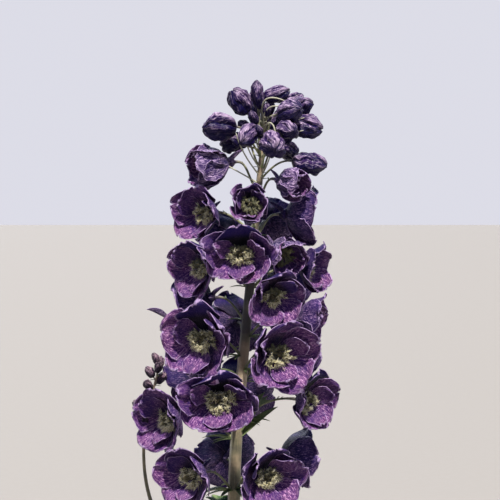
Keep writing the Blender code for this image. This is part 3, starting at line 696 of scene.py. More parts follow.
def clay_paint():
    """Terracotta with pale lime bloom, damp low down, fine grit and soft wheel lines."""
    paint = Paint("terracotta", 0.85, Specular_IOR_Level=0.25)
    height = paint.coordinate("Z", paint.object_space)
    grit = paint.noise(900, 4, 0.7)
    cloud = paint.ramp(paint.noise(14, 7, 0.62, 0.4), (0.35, 0), (0.65, 1))
    bloom = paint.ramp(paint.noise(26, 10, 0.76, 0.6), (0.46, 0), (0.8, 0.75))
    lines = paint.bands(60, 1.2, 3.0, 0.6, paint.object_space, "Z")
    paint.base = paint.mix(cloud, (0.33, 0.125, 0.055), (0.43, 0.195, 0.1))
    paint.layer((0.24, 0.1, 0.05), grit, (0.3, 0.55), (0.42, 0))
    paint.layer((0.72, 0.66, 0.58), paint.times(bloom, paint.ramp(height, (0.02, 1), (0.17, 0.35))))
    paint.layer((0.2, 0.09, 0.05), height, (0, 0.45), (0.03, 0))
    return paint.done(paint.plus(paint.times(lines, 0.5), grit), 0.45, 0.0006)


def soil_paint():
    """Dark moist potting soil with bark crumbs."""
    paint = Paint("potting_soil", 0.95, Specular_IOR_Level=0.2)
    grain = paint.noise(260, 8, 0.7)
    chip = paint.cells(190)
    wet, damp, dry = (0.01, 0.007, 0.005), (0.04, 0.025, 0.016), (0.095, 0.062, 0.04)
    paint.base = paint.ramp(grain, (0.3, wet), (0.55, damp), (0.8, dry))
    paint.layer((0.12, 0.07, 0.04), chip, (0.08, 0.8), (0.22, 0))
    paint.layer((0.16, 0.1, 0.06), paint.tint_and_shade(), (0.72, 0), (1.0, 0.9))
    return paint.done(paint.plus(grain, chip), 0.8, 0.0015)


INSIDE = ((0.007, 0.003, 0.08), (0.08, 0.016, 0.126), (0.13, 0.034, 0.144), (0.42, 0.23, 0.39))
# The outsides are darker than the insides: partly the petals' own colour, partly painted shade.
OUTSIDE = ((0.006, 0.003, 0.06), (0.02, 0.007, 0.082), (0.052, 0.02, 0.108), (0.3, 0.18, 0.35))
# Painted light: the outsides of half-open flowers are a lighter copy of the outside tones, with paler pinkish
# flecks and glints, as if in sunlight.
YOUNG = ((0.006, 0.003, 0.055), (0.028, 0.01, 0.085), (0.08, 0.036, 0.135), (0.54, 0.39, 0.58))
BUD_SKIN = ((0.004, 0.002, 0.034), (0.036, 0.012, 0.078), (0.62, 0.46, 0.64), (0.03, 0.024, 0.034))
YOUNG_BUD = ((0.012, 0.008, 0.022), (0.09, 0.042, 0.085), (0.62, 0.44, 0.48), (0.05, 0.05, 0.035))
PAINTS = {
    "inside": petal_paint("petal_inside", *INSIDE),
    "outside": petal_paint("petal_outside", *OUTSIDE),
    # Painted shade on half-open flowers: the shade stops are reversed, so the high tint values of the lower
    # petals go dark.
    "young_sunlit_outside": petal_paint("young_petal_outside_sunlit", *YOUNG, 0.05, 0.85, ((0.45, 0), (0.95, 0.9))),
    # Painted highlight: the petals' cut edges are pale lilac, standing in for bright glints on the edges.
    "rim": plain_paint("petal_rim_highlight", (0.38, 0.27, 0.46), (0.22, 0.12, 0.3), 400, 0.5),
    "bee": bee_paint(),
    "hair": hair_paint(),
    "filament": plain_paint("filament", (0.3, 0.28, 0.14), (0.16, 0.15, 0.06), 900, 0.6),
    "anther": plain_paint("anther", (0.05, 0.04, 0.02), (0.12, 0.1, 0.045), 1500, 0.7),
    "bud": bud_paint("bud_skin", *BUD_SKIN),
    "young_bud": bud_paint("young_bud", *YOUNG_BUD),
    "stem": stem_paint(),
    "pedicel": pedicel_paint(),
    "bract": plain_paint("bract", (0.085, 0.13, 0.045), (0.16, 0.19, 0.085), 350, 0.5),
    "pale": plain_paint("pale_bractlet", (0.46, 0.45, 0.33), (0.3, 0.29, 0.2), 300, 0.5),
    "petiole": plain_paint("petiole", (0.2, 0.27, 0.09), (0.13, 0.19, 0.06), 120, 0.45),
    "leaf": leaf_paint("leaf_face", (0.068, 0.145, 0.032), (0.028, 0.078, 0.018), (0.16, 0.23, 0.09)),
    "leaf_back": leaf_paint("leaf_back", (0.11, 0.18, 0.07), (0.075, 0.13, 0.045), (0.19, 0.26, 0.12)),
    "clay": clay_paint(),
    "soil": soil_paint(),
}


# -------- flowers


def stem_point(height):
    """The stem's middle: upright at first, then through a smooth bend into its lean."""
    over = max(height - LEAN_START, 0)
    bent = min(over, LEAN_BEND)
    return Vector((LEAN * (bent * bent / (2 * LEAN_BEND) + over - bent), 0, height))


def stem_radius(height):
    return float(lookup(STEM_RADII, height))


def sepal_length(floret):
    return floret.width * SEPAL_PER_WIDTH


def sepal_line(opening):
    """t, radius, depth and slope along a sepal's middle line, for a sepal 1 long."""
    t = np.linspace(0, 1, LINE_STEPS + 1)
    middle = (t[1:] + t[:-1]) / 2
    slope = np.radians((1 - opening) * lookup(SHUT_SLOPE, middle) + opening * lookup(OPEN_SLOPE, middle))
    radius = np.concatenate([[0], np.cumsum(np.sin(slope)) / LINE_STEPS])
    depth = np.concatenate([[0], np.cumsum(np.cos(slope)) / LINE_STEPS])
    return t, radius, depth, np.concatenate([slope, slope[-1:]])


def base_centre(floret):
    mouth = stem_point(floret.height) + towards(floret.azimuth) * floret.reach
    depth = sepal_line(floret.opening)[2][-1] * sepal_length(floret)
    return mouth - towards(floret.yaw, floret.pitch) * depth


def add_sepal(build, length, half_width, opening, turn, lift, key, mesh):
    """One ruffled petal. It cups inward, overlaps its neighbour, and its nibbled lip waves and rolls back."""
    line = sepal_line(opening)
    phase = pi * vary(key, 1)
    t, s = patch(mesh[0] + 1, mesh[1] + 1)
    t = t**0.8
    s = np.sin(s * pi / 2.3) / sin(pi / 2.3)
    nibble = 0.5 + 0.5 * np.sin(17 * s + phase * 2) * np.sin(29 * s + phase)
    split = np.exp(-(((s - 0.25 * vary(key, 4)) / 0.13) ** 2)) * (0.5 + 0.5 * vary(key, 6))
    end = 1 - (NIBBLE * nibble + SPLIT * split + 0.05 * vary(key, 7) * s) * ease(t, 0.55, 1.0)
    run = SEPAL_FOOT + (1 - SEPAL_FOOT) * t * end
    radius, depth, slope = (np.interp(run, line[0], values) for values in line[1:])
    width = half_width * lookup(WIDTH_PROFILE, SEPAL_FOOT + (1 - SEPAL_FOOT) * t)
    frill = np.sin(31 * t + phase * 3) * np.sin(12 * t + phase)
    across = s * width * (1 + 0.045 * frill * np.abs(s) ** 3)
    lip = ease(t, 0.35, 0.95) * (0.45 + 0.55 * opening)
    shift = s * PINWHEEL * np.minimum(1, 1.5 * t) - across**2 / (2 * CUP_CURL)
    shift += RUFFLE * np.abs(s) ** 2.2 * lip * np.sin(8.5 * t + np.sign(s) * 1.1 + phase)
    shift += LIP_WAVE * lip * np.sin(5.6 * s + phase * 1.7)
    shift += LIP_FRILL * lip * np.sin(15 * s + phase) * ease(t, 0.7, 1.0)
    shift += (0.015 + LIP_ROLL * vary(key, 2)) * ease(t, 0.82, 1.0) * opening
    shift -= MIDRIB * np.exp(-((s / 0.16) ** 2)) * ease(t, 0.15, 0.5)
    radius = radius + shift * np.cos(slope)
    depth = depth - shift * np.sin(slope)
    turn = radians(turn)
    outward = np.array([sin(turn), cos(turn), 0])
    sideways = np.array([cos(turn), -sin(turn), 0])
    grid = (steer(radius, outward) + steer(across, sideways) + steer(depth + lift, UP)) * length
    if opening < HALF_OPEN:
        crumple = waves(grid, 14, key, 1) * 2.2 + waves(grid * (1, 1, 0.5), 6.5, key + 1, 2) * 1.3
        crumple *= ease(t, 0.1, 0.5)
    else:
        crumple = waves(grid, 16, key, 3) * 0.62 * lip
    grid = grid + steer(crumple, outward * 0.5 - np.array(UP) * 0.8)
    # Painted shade: the upper petals get low tint values and the lower ones high, with a random part, so the
    # paint darkens the upper petals as if shaded from above.
    light = 0.55 - 0.4 * cos(turn) + 0.2 * vary(key, 5)
    build.sheet(grid, t, s, PETAL, (0, 1, 2), min(1, max(0, light)))


def bloom(index, floret):
    """Outer and inner petals, base and spur, in the flower's own frame."""
    build = Build()
    length = sepal_length(floret)
    front = abs(floret.azimuth) <= FRONT and floret.opening > NO_BEE_BELOW
    mesh = (PETAL_MESH if front else SIDE_PETAL_MESH) if floret.opening > HALF_OPEN else CRUMPLED_MESH
    key, opening = index * 9, floret.opening
    for i in range(OUTER_PETALS):
        size = length * (1 + 0.05 * vary(index, i, 3))
        turn = 360 / OUTER_PETALS * i + 4 * vary(index, i)
        add_sepal(build, size, OUTER_HALF_WIDTH, opening, turn, 0, key + i, mesh)
    key += OUTER_PETALS
    inner = 3 if front else 2
    for i in range(inner):
        size = length * INNER_LENGTH * (1 + 0.1 * vary(index, i, 5))
        turn = (60 if front else 0) + 360 / inner * i + 16 * vary(index, i, 7)
        add_sepal(build, size, INNER_HALF_WIDTH, opening * 0.92, turn, INNER_LIFT, key + i, mesh)
    turns = turns_round(16)
    knob = 1 + 0.06 * np.cos(5 * turns)
    # Painted shade: low tint values on the base and spur, which the outside paint of open flowers darkens.
    build.loft([ring(radius * knob, turns, height) * length for radius, height in BASE_PROFILE], 1, 0.2)
    spur = bezier([Vector((0, y, z)) * length for y, z in SPUR_LINE], 10)
    build.tube(spur, taper(11, (0, 5, 10), [0.062 * length, 0.05 * length, 0.02 * length]), 12, 1, 0.4)
    for points in build.points:
        points[:, 1] *= floret.tall / floret.width
    return build


def add_tuft(build, pick, root, out, side, shade, scale):
    """Hairs that lean one way from one spot on a cream petal."""
    lean = out * pick.uniform(-0.7, 1.1) + side * pick.uniform(-0.8, 0.8)
    lean += UP * pick.uniform(0.4, 1.2)
    for _ in range(HAIRS):
        stray = Vector(pick.uniform(-0.7, 0.7, 3))
        tip = root + (lean + stray).normalized() * pick.uniform(*HAIR_LENGTH) * scale
        near = root + Vector(pick.uniform(-0.8, 0.8, 3)) * scale
        # Each hair's shade value is also random, for painted dark gaps among the bright hairs.
        build.spike(near, tip, pick.uniform(*HAIR_WIDTH), 3, shade * pick.uniform(0.15, 1.15))


def add_stamen(build, pick, foot, squash, scale):
    turn, spread = pick.uniform(0, tau), pick.uniform(0.2, 1)
    out = Vector((cos(turn), sin(turn) * squash, 0))
    root = foot + out * 1.4 * spread * scale
    tip = foot + UP * (8.5 - 3 * spread) * scale + out * 4.0 * spread * scale
    middle = (root + tip) / 2 - out * 0.6
    build.tube([root, middle, tip], [0.28, 0.22, 0.18], 5, 1)
    turns = turns_round(6)
    build.loft([ring(r, turns, height) * scale + np.array(tip) for r, height in ANTHER_PROFILE], 2)


def bee(index, floret):
    """The heart of a flower: small ragged cream petals, thick tufts of hair on them, and dark stamens."""
    build = Build()
    pick = seeded(index, 5)
    length = sepal_length(floret)
    scale = (0.8 + 0.2 * floret.opening) * length / BEE_SIZED_FOR
    sunk = min(0.18, 2.2 * max(0, 0.7 - floret.opening))
    base = (INNER_LIFT * INNER_LENGTH + 0.012 + sunk) * length + PETAL
    squash = 0.5 + 0.5 * floret.tall / floret.width
    ripe = float(np.interp(floret.opening, (0.6, 0.88), (0.1, 1)))
    least = 0.05 if index + 1 in SHADED_BEES else 0.45
    for i in range(BEE_PETALS):
        turn = tau * (i * 0.382 + 0.06 * pick.uniform(-1, 1))
        out = Vector((cos(turn), sin(turn) * squash, 0))
        side = Vector((-sin(turn), cos(turn) * squash, 0))
        t, s = patch(*BEE_MESH)
        outer = i / (BEE_PETALS - 1)
        # Painted shade: the lower half of a bee gets high tint values and the upper half low ones, lowest in
        # SHADED_BEES, so the paint darkens the upper half as if shaded by the petals above.
        low = 0.5 - 0.5 * sin(turn)
        light = least + (1 - least) * low
        reach = (5.5 + 9.0 * outer**0.6) * (0.6 + 0.45 * low + 0.25 * cos(turn) ** 2)
        reach *= pick.uniform(0.85, 1.12) * (1 + 0.35 * (1 - ripe))
        lift = (9.0 - 3.0 * outer) * pick.uniform(0.8, 1.15)
        curl = pick.uniform(1.3, 2.2)
        notch = 0.28 * np.exp(-(((s - 0.4 * pick.uniform(-1, 1)) / 0.3) ** 2)) * ease(t, 0.5, 1.0)
        share = np.clip(t - notch, 0, 1)
        run = share * reach * (1 - 0.1 * share * curl) + 1.0
        high = lift * np.sin(share * curl) + 0.9 * np.sin(5 * s + 2 * i + 4 * t) * t
        wide = s * (0.7 + (1.7 + 0.8 * outer) * ease(t, 0.1, 0.8))
        grid = steer(run * scale, out) + steer(wide * scale, side) + steer(base + high * scale, UP)
        grid += (waves(grid, 5, index * 19 + i, 2) * 0.5 * t)[..., None]
        build.sheet(grid, t, s, THIN, (0, 0, 0), (ripe if i % 4 else 1) * light * pick.uniform(0.4, 1))
        for _ in range(5 if low > 0.3 else 2):
            row, column = pick.integers(5, BEE_MESH[0]), pick.integers(0, BEE_MESH[1])
            shade = ripe * light * pick.uniform(0.5, 1)
            add_tuft(build, pick, Vector(grid[row, column]), out, side, shade, scale)
    for _ in range(STAMENS):
        add_stamen(build, pick, UP * base, squash, scale)
    return build


def add_flowers():
    for index, floret in enumerate(FLORETS):
        pose = upright_frame(base_centre(floret), towards(floret.yaw, floret.pitch))
        name = f"bloom_{index + 1:02d}"
        outside = "outside" if floret.opening > HALF_OPEN else "young_sunlit_outside"
        bloom(index, floret).piece(name + "_petals", ("inside", outside, "rim"), "sepal", name, pose)
        if floret.opening > NO_BEE_BELOW:
            name = name.replace("bloom", "bee")
            paints = ("bee", "filament", "anther", "hair")
            bee(index, floret).piece(name + "_heart", paints, "cream_centre", name, pose)


# -------- stem, stalks and leaves


def azimuth_from_stem(point, height):
    away = point - stem_point(height)
    return degrees(atan2(away.x, -away.y))


def add_stem_length(build, low, high, count, sides, slot, ridge):
    heights = np.linspace(low, high, count)
    build.tube([stem_point(h) for h in heights], [stem_radius(h) for h in heights], sides, slot, ridge=ridge)


def add_bract(build, root, direction, length, width, slot, droop=0.3, roll=0.0):
    """A narrow leafy strip that arches away from its root, rolled about its own length."""
    side = Matrix.Rotation(radians(roll), 3, direction) @ direction.cross(UP).normalized()
    t, s = patch(*BRACT_MESH)
    half = width / 2 * np.sin(np.clip(0.12 + 0.88 * t, 0, 1) * pi) ** 0.8 * (1 - 0.3 * t) + 0.02
    high = np.abs(s) * half * 0.5 - droop * length * t**2
    grid = np.array(root) + steer(t * length, direction) + steer(s * half, side) + steer(high, UP)
    build.sheet(grid, t, s, THIN, (slot, slot, slot))


def stalk_path(start, azimuth, reach, end, facing, count):
    """A stalk's bend: it leaves the stem on a slant and arrives from behind what it holds."""
    rise, arrival = towards(azimuth, STALK_RISE) * reach * 0.45, facing * reach * 0.38
    return bezier((start, start + rise, end - arrival, end), count)


def add_pedicel(build, floret, key):
    """A flower's stalk, with bracts under it and two bractlets on it."""
    facing = towards(floret.yaw, floret.pitch)
    end = base_centre(floret) - facing * (BASE_DEPTH * sepal_length(floret) - GAP)
    height = min(end.z - 16 - 4 * floret.opening, STEM_TOP - 4)
    azimuth = azimuth_from_stem(end, end.z)
    reach = (end - stem_point(height)).length
    start = stem_point(height) + towards(azimuth) * stem_radius(height) * 0.4
    path = stalk_path(start, azimuth, reach, end, facing, 14)
    build.tube(path, taper(15, (0, 1.4, 4.2, 11.2, 14), (1.7, 1.25, 1.0, 1.0, 1.5)), 10, 1)
    low_down = np.interp(height, (500, 620, 760), (1, 0.35, 0))
    length, width = 12 + 24 * low_down, 2.0 + 7.5 * low_down
    add_bract(build, start, towards(azimuth + 8 * vary(key, 2), 20), length, width, 2)
    if low_down > 0.3:
        for side in (-1, 1):
            lean = towards(azimuth + side * (26 + 6 * vary(key, 3)), 12)
            add_bract(build, start, lean, length * 0.7, width * 0.6, 2)
    for i, turn in ((9, 55), (10, -55)):
        add_bract(build, path[i], towards(azimuth + turn, 35), 5.5, 1.2, 2, 0.1)


def add_leaf(build, stalk, stalk_radius, up, length, lobes, spread, droop, slots, key):
    """A stalk with its lobed blade: folded along each rib, pebbled, and arching at the tips."""
    end = stalk[-1]
    out = (end - stalk[-2]).normalized()
    out = (out - up * out.dot(up)).normalized()
    pose = Matrix.Translation(end) @ Matrix((out.cross(up), out, up)).transposed().to_4x4()
    spread = radians(spread)
    half, middle = spread / lobes / 2, (lobes - 1) / 2
    angle = spread * (np.linspace(0, 1, LOBE_RAYS * lobes + 1) - 0.5)[:, None]
    lobe = np.clip(np.floor((angle + spread / 2) / (2 * half)), 0, lobes - 1) - middle
    offset = angle / half - 2 * lobe
    aside = np.abs(offset)
    size, neighbour = length * (1 - 0.1 * np.abs(lobe)), length * (1 - 0.1 * np.abs(lobe + np.sign(offset)))
    blend = ease(aside, 0.8, 1.0) * 0.5
    size = size * (1 - blend) + neighbour * blend
    teeth = 0.035 * np.abs(np.sin(aside * 15)) * ease(aside, 0.0, 0.2) * (1 - aside)
    share = np.linspace(0.012, 1, LEAF_STEPS + 1)
    radius = share * (lookup(LOBE_REACH, aside) + teeth - 0.012) * size
    height = 0.1 * radius * np.abs(np.sin(pi / 2 * angle / half)) - droop * radius**2 / length
    height -= 0.05 * length * np.exp(-((offset / 0.3) ** 2)) * np.sin(np.clip(radius / size, 0, 1) * pi)
    height += 0.012 * length * np.sin(radius / length * 26 + aside * 5) * aside * share
    grid = np.stack([radius * np.sin(angle), radius * np.cos(angle), height], axis=2)
    grid[..., 2] += waves(grid, 50, key, 2) * 1.1 * share
    s = np.broadcast_to(2 * angle / spread, radius.shape)
    build.sheet(moved(grid, pose)[::-1], radius[::-1] / length, s[::-1], LEAF, slots)
    path = stalk[:-1] + [end + out * stalk_radius - up * stalk_radius * 0.5]
    shares = [i / STALK_STEPS for i in range(STALK_STEPS + 1)]
    radii = [stalk_radius * (1.25 - 0.45 * share) for share in shares]
    build.tube([along(path, share) for share in shares], radii, 12, slots[2], ridge=0.05)


def stem_leaf(build, key, height, azimuth, petiole, length, rise):
    start = stem_point(height) + towards(azimuth) * stem_radius(height) * 0.4
    end = start + towards(azimuth, 28 + rise) * petiole
    lift, level = towards(azimuth, 50) * petiole * 0.45, towards(azimuth, 6) * petiole * 0.4
    path = bezier((start, start + lift, end - level, end), 3)
    lobes, spread = (5, 260) if length > 50 else (3, 190)
    up = towards(azimuth + 180, 70 - rise)
    add_leaf(build, path, 1.5, up, length, lobes, spread, 0.22, (3, 4, 1), key)


def basal_leaf(build, key, azimuth, run, blade_height, length):
    start = UP * (CROWN_TOP - 4) + towards(azimuth) * 10.5
    end = towards(azimuth) * run + UP * blade_height
    lift, level = towards(azimuth, 66) * (blade_height - CROWN_TOP) * 0.75, towards(azimuth, 12) * run * 0.4
    path = bezier((start, start + lift, end - level, end), 5)
    add_leaf(build, path, 2.1, towards(azimuth + 180, 72), length, 5, 290, 0.26, (0, 1, 2), key)


def add_stem():
    build = Build()
    add_stem_length(build, STEM_FOOT, STEM_TOP, 70, 28, 0, 0.035)
    for key, floret in enumerate(FLORETS):
        add_pedicel(build, floret, key)
    for key, row in enumerate(STEM_LEAVES):
        stem_leaf(build, key + 40, *row)
    for height, azimuth, rise, length, width, droop, roll in LONG_BRACTS:
        add_bract(build, stem_point(height), towards(azimuth, rise), length, width, 2, droop, roll)
    root, way, length, width, droop, roll = CURLED_TIP
    add_bract(build, Vector(root), Vector(way), length, width, 5, droop, roll)
    paints = ("stem", "pedicel", "bract", "leaf", "leaf_back", "young_sunlit_outside")
    build.piece("stem_and_stalks", paints, "green_stem", "stem")


def add_basal_leaves():
    build = Build()
    inner = stem_radius(STEM_FOOT) + GAP
    turns = turns_round(36)
    groove = 1.2 * (1 - np.abs(np.cos(3 * turns + 0.5)))
    crown = (
        (inner, STEM_FOOT),
        (CROWN_RADIUS - 1, STEM_FOOT),
        (CROWN_RADIUS, STEM_FOOT + 3),
        (CROWN_RADIUS, CROWN_TOP - 14),
        (CROWN_RADIUS - 1.5, CROWN_TOP - 6),
        (CROWN_RADIUS - 5, CROWN_TOP),
        (inner, CROWN_TOP - 1),
    )
    rings = [ring(radius - groove * (radius > inner + 1), turns, height) for radius, height in crown]
    build.loft(rings, 2, capped=False)
    for key, row in enumerate(BASAL_LEAVES):
        basal_leaf(build, key + 60, *row)
    build.piece("basal_rosette", ("leaf", "leaf_back", "petiole"), "leaf", "basal_leaves")


# -------- buds


def add_bud(build, pose, length, width, key, mesh):
    """A plump closed bud: five petals folded round each other, with deep creases between them."""
    t, turns = np.meshgrid(np.linspace(0, 1, mesh[0] + 1), turns_round(mesh[1]), indexing="ij")
    fifths = turns * 5 / tau
    twist = 0.4 * t * (1 if key % 2 else -1) + 0.05 * np.sin(3 * pi * t + key)
    lobe = (fifths + twist + 0.12 * key) % 1
    crest = np.sin(lobe * pi) ** 0.42
    pleat = 0.5 + 0.5 * np.sin(lobe * 4 * pi + 1.1 * np.sin(t * 4 + key) + 3 * vary(key, 2))
    swell = np.sin(np.clip(t, 0.02, 1) * pi) ** 0.35
    crease = np.exp(-((np.sin((turns - 0.9 * key - 0.5 * t) / 2) / 0.16) ** 2))
    size = 1 + 0.1 * np.sin(turns * 2 + key) + 0.05 * np.sin(turns * 3 + 2 * key)
    folds = 1 + swell * (0.36 * (crest - 0.8) + 0.12 * (lobe - 0.5) - 0.26 * crease)
    radius = lookup(BUD_PROFILE, t) * size * folds
    radius *= 0.93 * (1 - 0.055 * pleat**2 * swell * ease(t, 0.05, 0.4))
    radius += 0.022 * np.sin(t * 19 + np.floor(fifths) * 2.1 + key) * t * swell
    tall = t * (1 + 0.05 * np.sin(turns * 3 + key) * t**3)
    grid = np.stack([radius * np.cos(turns) * width, radius * np.sin(turns) * width, tall * length], axis=2)
    grid += steer(waves(grid, 9, key, 3) * 0.042 * width, (1, 1, 0.4))
    grid[..., 1] += 0.06 * width * np.sin(t * pi)
    build.loft(moved(grid, pose))
    # Painted shade and highlight: the tint value is high on the fold crests of the upper side and low in the
    # creases, pleats and on the underside, for the bud paint to lighten and darken.
    way = np.stack([np.cos(turns), np.sin(turns), 1.2 * t - 0.6], axis=2) @ np.array(pose.to_3x3()).T
    upper = ease(way[..., 2], -0.55, 0.45)
    build.tints_and_shades[-1] = (crest * (1 - 0.55 * pleat**2) * (1 - 0.8 * crease) * (0.12 + 0.88 * upper)).ravel()


def add_top_bud(build, key, height, azimuth, reach, yaw, pitch, length, width):
    """A large bud on its bent stalk, with a bract at the stalk's root."""
    facing = towards(yaw, pitch)
    base = stem_point(height) + towards(azimuth) * reach - facing * length / 2
    add_bud(build, upright_frame(base, facing) @ Matrix.Rotation(key, 4, "Z"), length, width, key, BUD_MESH)
    root = min(max(base.z - BUD_STALK_DROP, STEM_TOP + 4), SPRAY_TIP - 3)
    start, end = stem_point(root), base + facing * 2
    azimuth = azimuth_from_stem(base, root)
    path = stalk_path(start, azimuth, (end - start).length, end, facing, 12)
    build.tube(path, taper(13, (0, 2, 10, 12), (1.3, 0.9, 0.85, 1.3)), 9, 2)
    add_bract(build, start, towards(azimuth, 30), 9, 1.6, 3)


def add_inner_bud(build, i):
    """A small bud among the large ones, with a pale thread-like bractlet that rises and bends over."""
    share = i / (INNER_BUDS - 1)
    azimuth = GOLDEN * i + 20
    facing = towards(azimuth, 15 + 62 * share)
    start = stem_point(SPRAY_TIP - 36 + 35 * share)
    reach = 17 - 9 * share
    base = start + towards(azimuth, 25) * reach
    size = 16 - 4 * share
    add_bud(build, upright_frame(base, facing), size, size * 0.62, i + 60, SMALL_BUD_MESH)
    points = (start, start + towards(azimuth, 50) * reach * 0.5, base - facing * reach * 0.3, base + facing)
    build.tube(bezier(points, 8), [0.8] * 9, 8, 2)
    rise, curl = (way * (20 - 7 * share) for way in (towards(azimuth + 30, 40), towards(azimuth + 70, 8)))
    points = (start, start + rise * 0.45, start + rise * 0.7 + curl * 0.2, start + rise * 0.6 + curl * 0.6)
    build.tube(bezier(points, 10), taper(11, (0, 4, 10), (0.7, 0.6, 0.25)), 7, 4)


def add_bud_spray():
    build = Build()
    add_stem_length(build, STEM_TOP + GAP, SPRAY_TIP, 16, 18, 1, 0.03)
    for key, row in enumerate(TOP_BUDS):
        add_top_bud(build, key, *row)
    for i in range(INNER_BUDS):
        add_inner_bud(build, i)
    for height, *others in TIP_ARCS:
        path = bezier([stem_point(height)] + [Vector(point) for point in others], 14)
        build.tube(path, taper(15, (0, 3, 11, 14), (0.9, 0.65, 0.6, 0.3)), 8, 4)
    build.piece("bud_cluster", ("bud", "stem", "pedicel", "bract", "pale"), "bud", "bud_spray")


def add_side_spike():
    build = Build()
    route = [Vector(point) for point in SIDE_ROUTE]
    shares = np.linspace(0, 1, 40)
    build.tube([along(route, share) for share in shares], lookup(SIDE_RADII, shares), 12, 1, ridge=0.03)
    for i in range(SIDE_BUDS):
        step = i / (SIDE_BUDS - 1)
        size = SIDE_BUD_LENGTH * (1 - 0.25 * step)
        facing = towards(GOLDEN * i, 35 + 40 * (i / SIDE_BUDS) ** 2)
        start = along(route, SIDE_BUD_START + (1 - SIDE_BUD_START) * step)
        base = start + facing * 3.2
        add_bud(build, upright_frame(base, facing), size, size * 0.72, i + 30, SMALL_BUD_MESH)
        path = [start, start + facing * 1.8, base + facing]
        build.tube(path, [0.9, 0.6, 0.7], 8, 2)
        add_bract(build, start, towards(GOLDEN * i, 15), 6, 1.2, 3)
    build.piece("young_side_spike", ("young_bud", "stem", "pedicel", "bract"), "bud", "side_spike")


# -------- pot and soil


def pot_radius(height):
    return POT_FOOT_RADIUS + (POT_TOP_RADIUS - POT_FOOT_RADIUS) * height / POT_HEIGHT


def rounded(profile, radius):
    """The same outline with each corner between its two ends turned into a small arc."""
    points = [np.array(point, float) for point in profile]
    made = [points[0]]
    for before, corner, after in zip(points, points[1:], points[2:]):
        sides = [(end - corner, np.linalg.norm(end - corner)) for end in (before, after)]
        reach = min(radius, *(length * 0.45 for _, length in sides))
        start, end = (corner + way / length * reach for way, length in sides)
        for t in np.linspace(0, 1, POT_ARC):
            made.append((1 - t) ** 2 * start + 2 * t * (1 - t) * corner + t * t * end)
    return made + [points[-1]]


def add_pot():
    """A hand-thrown look: round corners, slight unevenness and a solid floor."""
    under_rim = POT_HEIGHT - POT_RIM_HEIGHT
    profile = (
        (0.4, 0.8),
        (POT_FOOT_RADIUS - 9, 0.8),
        (POT_FOOT_RADIUS - 8, 0.0),
        (POT_FOOT_RADIUS, 0.0),
        (pot_radius(under_rim), under_rim),
        (POT_RIM_RADIUS - 2, under_rim + 1),
        (POT_RIM_RADIUS, POT_HEIGHT - 1),
        (POT_RIM_RADIUS - 2, POT_HEIGHT),
        (pot_radius(POT_HEIGHT) - POT_WALL, POT_HEIGHT),
        (pot_radius(POT_FLOOR) - POT_WALL, POT_FLOOR),
        (0.4, POT_FLOOR),
    )
    outline = rounded(profile, POT_CORNER)
    sections = []
    for a, b in zip(outline, outline[1:]):
        pieces = max(1, int(np.linalg.norm(b - a) / POT_SECTION))
        sections += [a + (b - a) * k / pieces for k in range(pieces)]
    turns = turns_round(POT_SIDES)
    grid = np.array([ring(radius, turns, height) for radius, height in sections + outline[-1:]])
    swell = waves(grid, 120, 3, 2) * 0.35 * (grid[..., 2] > 2)
    build = Build()
    build.loft(grid + swell[..., None] * ring(1, turns, 0))
    build.piece("clay_pot", ("clay",), "clay", "pot")


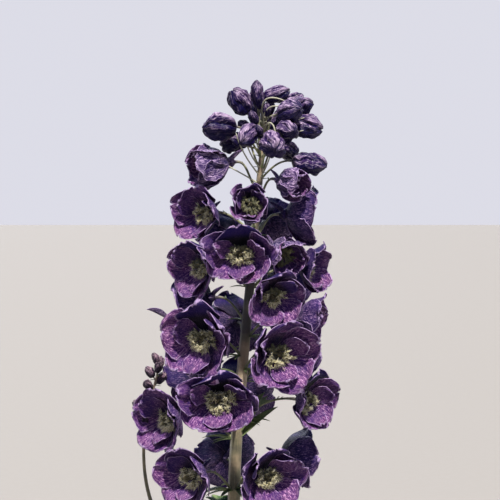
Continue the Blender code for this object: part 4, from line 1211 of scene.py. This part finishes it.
def add_soil():
    """A crumbly top with loose grains and bark, open where the plant's crown stands."""
    build = Build()
    pick = seeded(9, 9)
    edge = pot_radius(SOIL_TOP) - POT_WALL - 0.6
    hole = CROWN_RADIUS + GAP
    radii = hole + (edge - hole) * np.linspace(0, 1, SOIL_MESH[0])
    turns = turns_round(SOIL_MESH[1])
    grid = np.array([ring(radius, turns, 0) for radius in radii])
    lumps = waves(grid, 30, 1, 3) * 1.5 + waves(grid, 7, 2, 3) * 0.9
    grid[..., 2] = SOIL_TOP + lumps + 2.2 * (1 - (radii[:, None] / edge) ** 2)
    wall = ring(pot_radius(POT_FLOOR) - POT_WALL - 0.8, turns, POT_FLOOR + GAP)
    build.loft([ring(hole, turns, STEM_FOOT - GAP), *grid, wall], tint_and_shade=0.3)
    for k in range(CRUMBS):
        radius = sqrt(pick.uniform((hole + CRUMB_MARGIN) ** 2, (edge - CRUMB_MARGIN) ** 2))
        turn = pick.uniform(0, tau)
        size = pick.uniform(*CRUMB_SIZE) * (1 if k % BARK_EVERY else BARK_SIZE)
        column = int(turn / tau * SOIL_MESH[1]) % SOIL_MESH[1]
        top = grid[np.argmin(np.abs(radii - radius)), column, 2]
        centre = np.array([radius * cos(turn), radius * sin(turn), top + size * 0.25])
        stretch = np.array([pick.uniform(0.7, 1.5), pick.uniform(0.6, 1.1), pick.uniform(0.5, 0.9)]) * size
        spin = np.array(Matrix.Rotation(pick.uniform(0, pi), 3, "Z")).T
        rings = []
        for share, height in CRUMB_PROFILE:
            rough = 1 + 0.22 * pick.uniform(-1, 1, (6, 1))
            rings.append(ring(share, turns_round(6), height) * rough * stretch @ spin + centre)
        build.loft(rings, tint_and_shade=pick.uniform(0, 1))
    build.piece("soil_surface", ("soil",), "soil", "soil")


# -------- studio


def add_floor():
    mesh = bpy.data.meshes.new("floor")
    corners = [(x * FLOOR_HALF, y * FLOOR_HALF, 0) for x, y in ((-1, -1), (1, -1), (1, 1), (-1, 1))]
    mesh.from_pydata(corners, [], [(0, 1, 2, 3)])
    mesh.materials.append(plain_paint("floor_paint", *FLOOR_TONES, 40, 0.85, 0.05))
    add_object("floor", mesh)


def add_room():
    """A pale backdrop all round that fades into a darker ceiling."""
    world = bpy.data.worlds.new("studio")
    bpy.context.scene.world = world
    world.use_nodes = True
    nodes, links = world.node_tree.nodes, world.node_tree.links
    split = nodes.new("ShaderNodeSeparateXYZ")
    fade = nodes.new("ShaderNodeValToRGB")
    links.new(nodes.new("ShaderNodeTexCoord").outputs["Generated"], split.inputs[0])
    links.new(split.outputs["Z"], fade.inputs["Fac"])
    links.new(fade.outputs["Color"], nodes["Background"].inputs["Color"])
    for element, (height, colour) in zip(fade.color_ramp.elements, ROOM):
        element.position = height
        element.color = colour


def add_lights():
    for name, azimuth, elevation, softness, power, colour in LIGHTS:
        sun = bpy.data.lights.new(name, "SUN")
        sun.energy, sun.angle, sun.color = power, radians(softness), colour
        lamp = add_object(name, sun)
        lamp.rotation_euler = (-towards(azimuth, elevation)).to_track_quat("-Z", "Y").to_euler()


def add_camera():
    data = bpy.data.cameras.new("camera")
    data.sensor_width = SENSOR
    data.lens = SENSOR * (AIM - EYE).length / (PIXEL * FRAME_PIXELS)
    camera = add_object("camera", data)
    camera.location = EYE
    camera.rotation_euler = (AIM - EYE).to_track_quat("-Z", "Y").to_euler()
    bpy.context.scene.camera = camera
    bpy.context.scene.view_settings.view_transform = "Standard"


# -------- build

add_pot()
add_soil()
add_basal_leaves()
add_stem()
add_flowers()
add_bud_spray()
add_side_spike()
add_floor()
add_room()
add_lights()
add_camera()
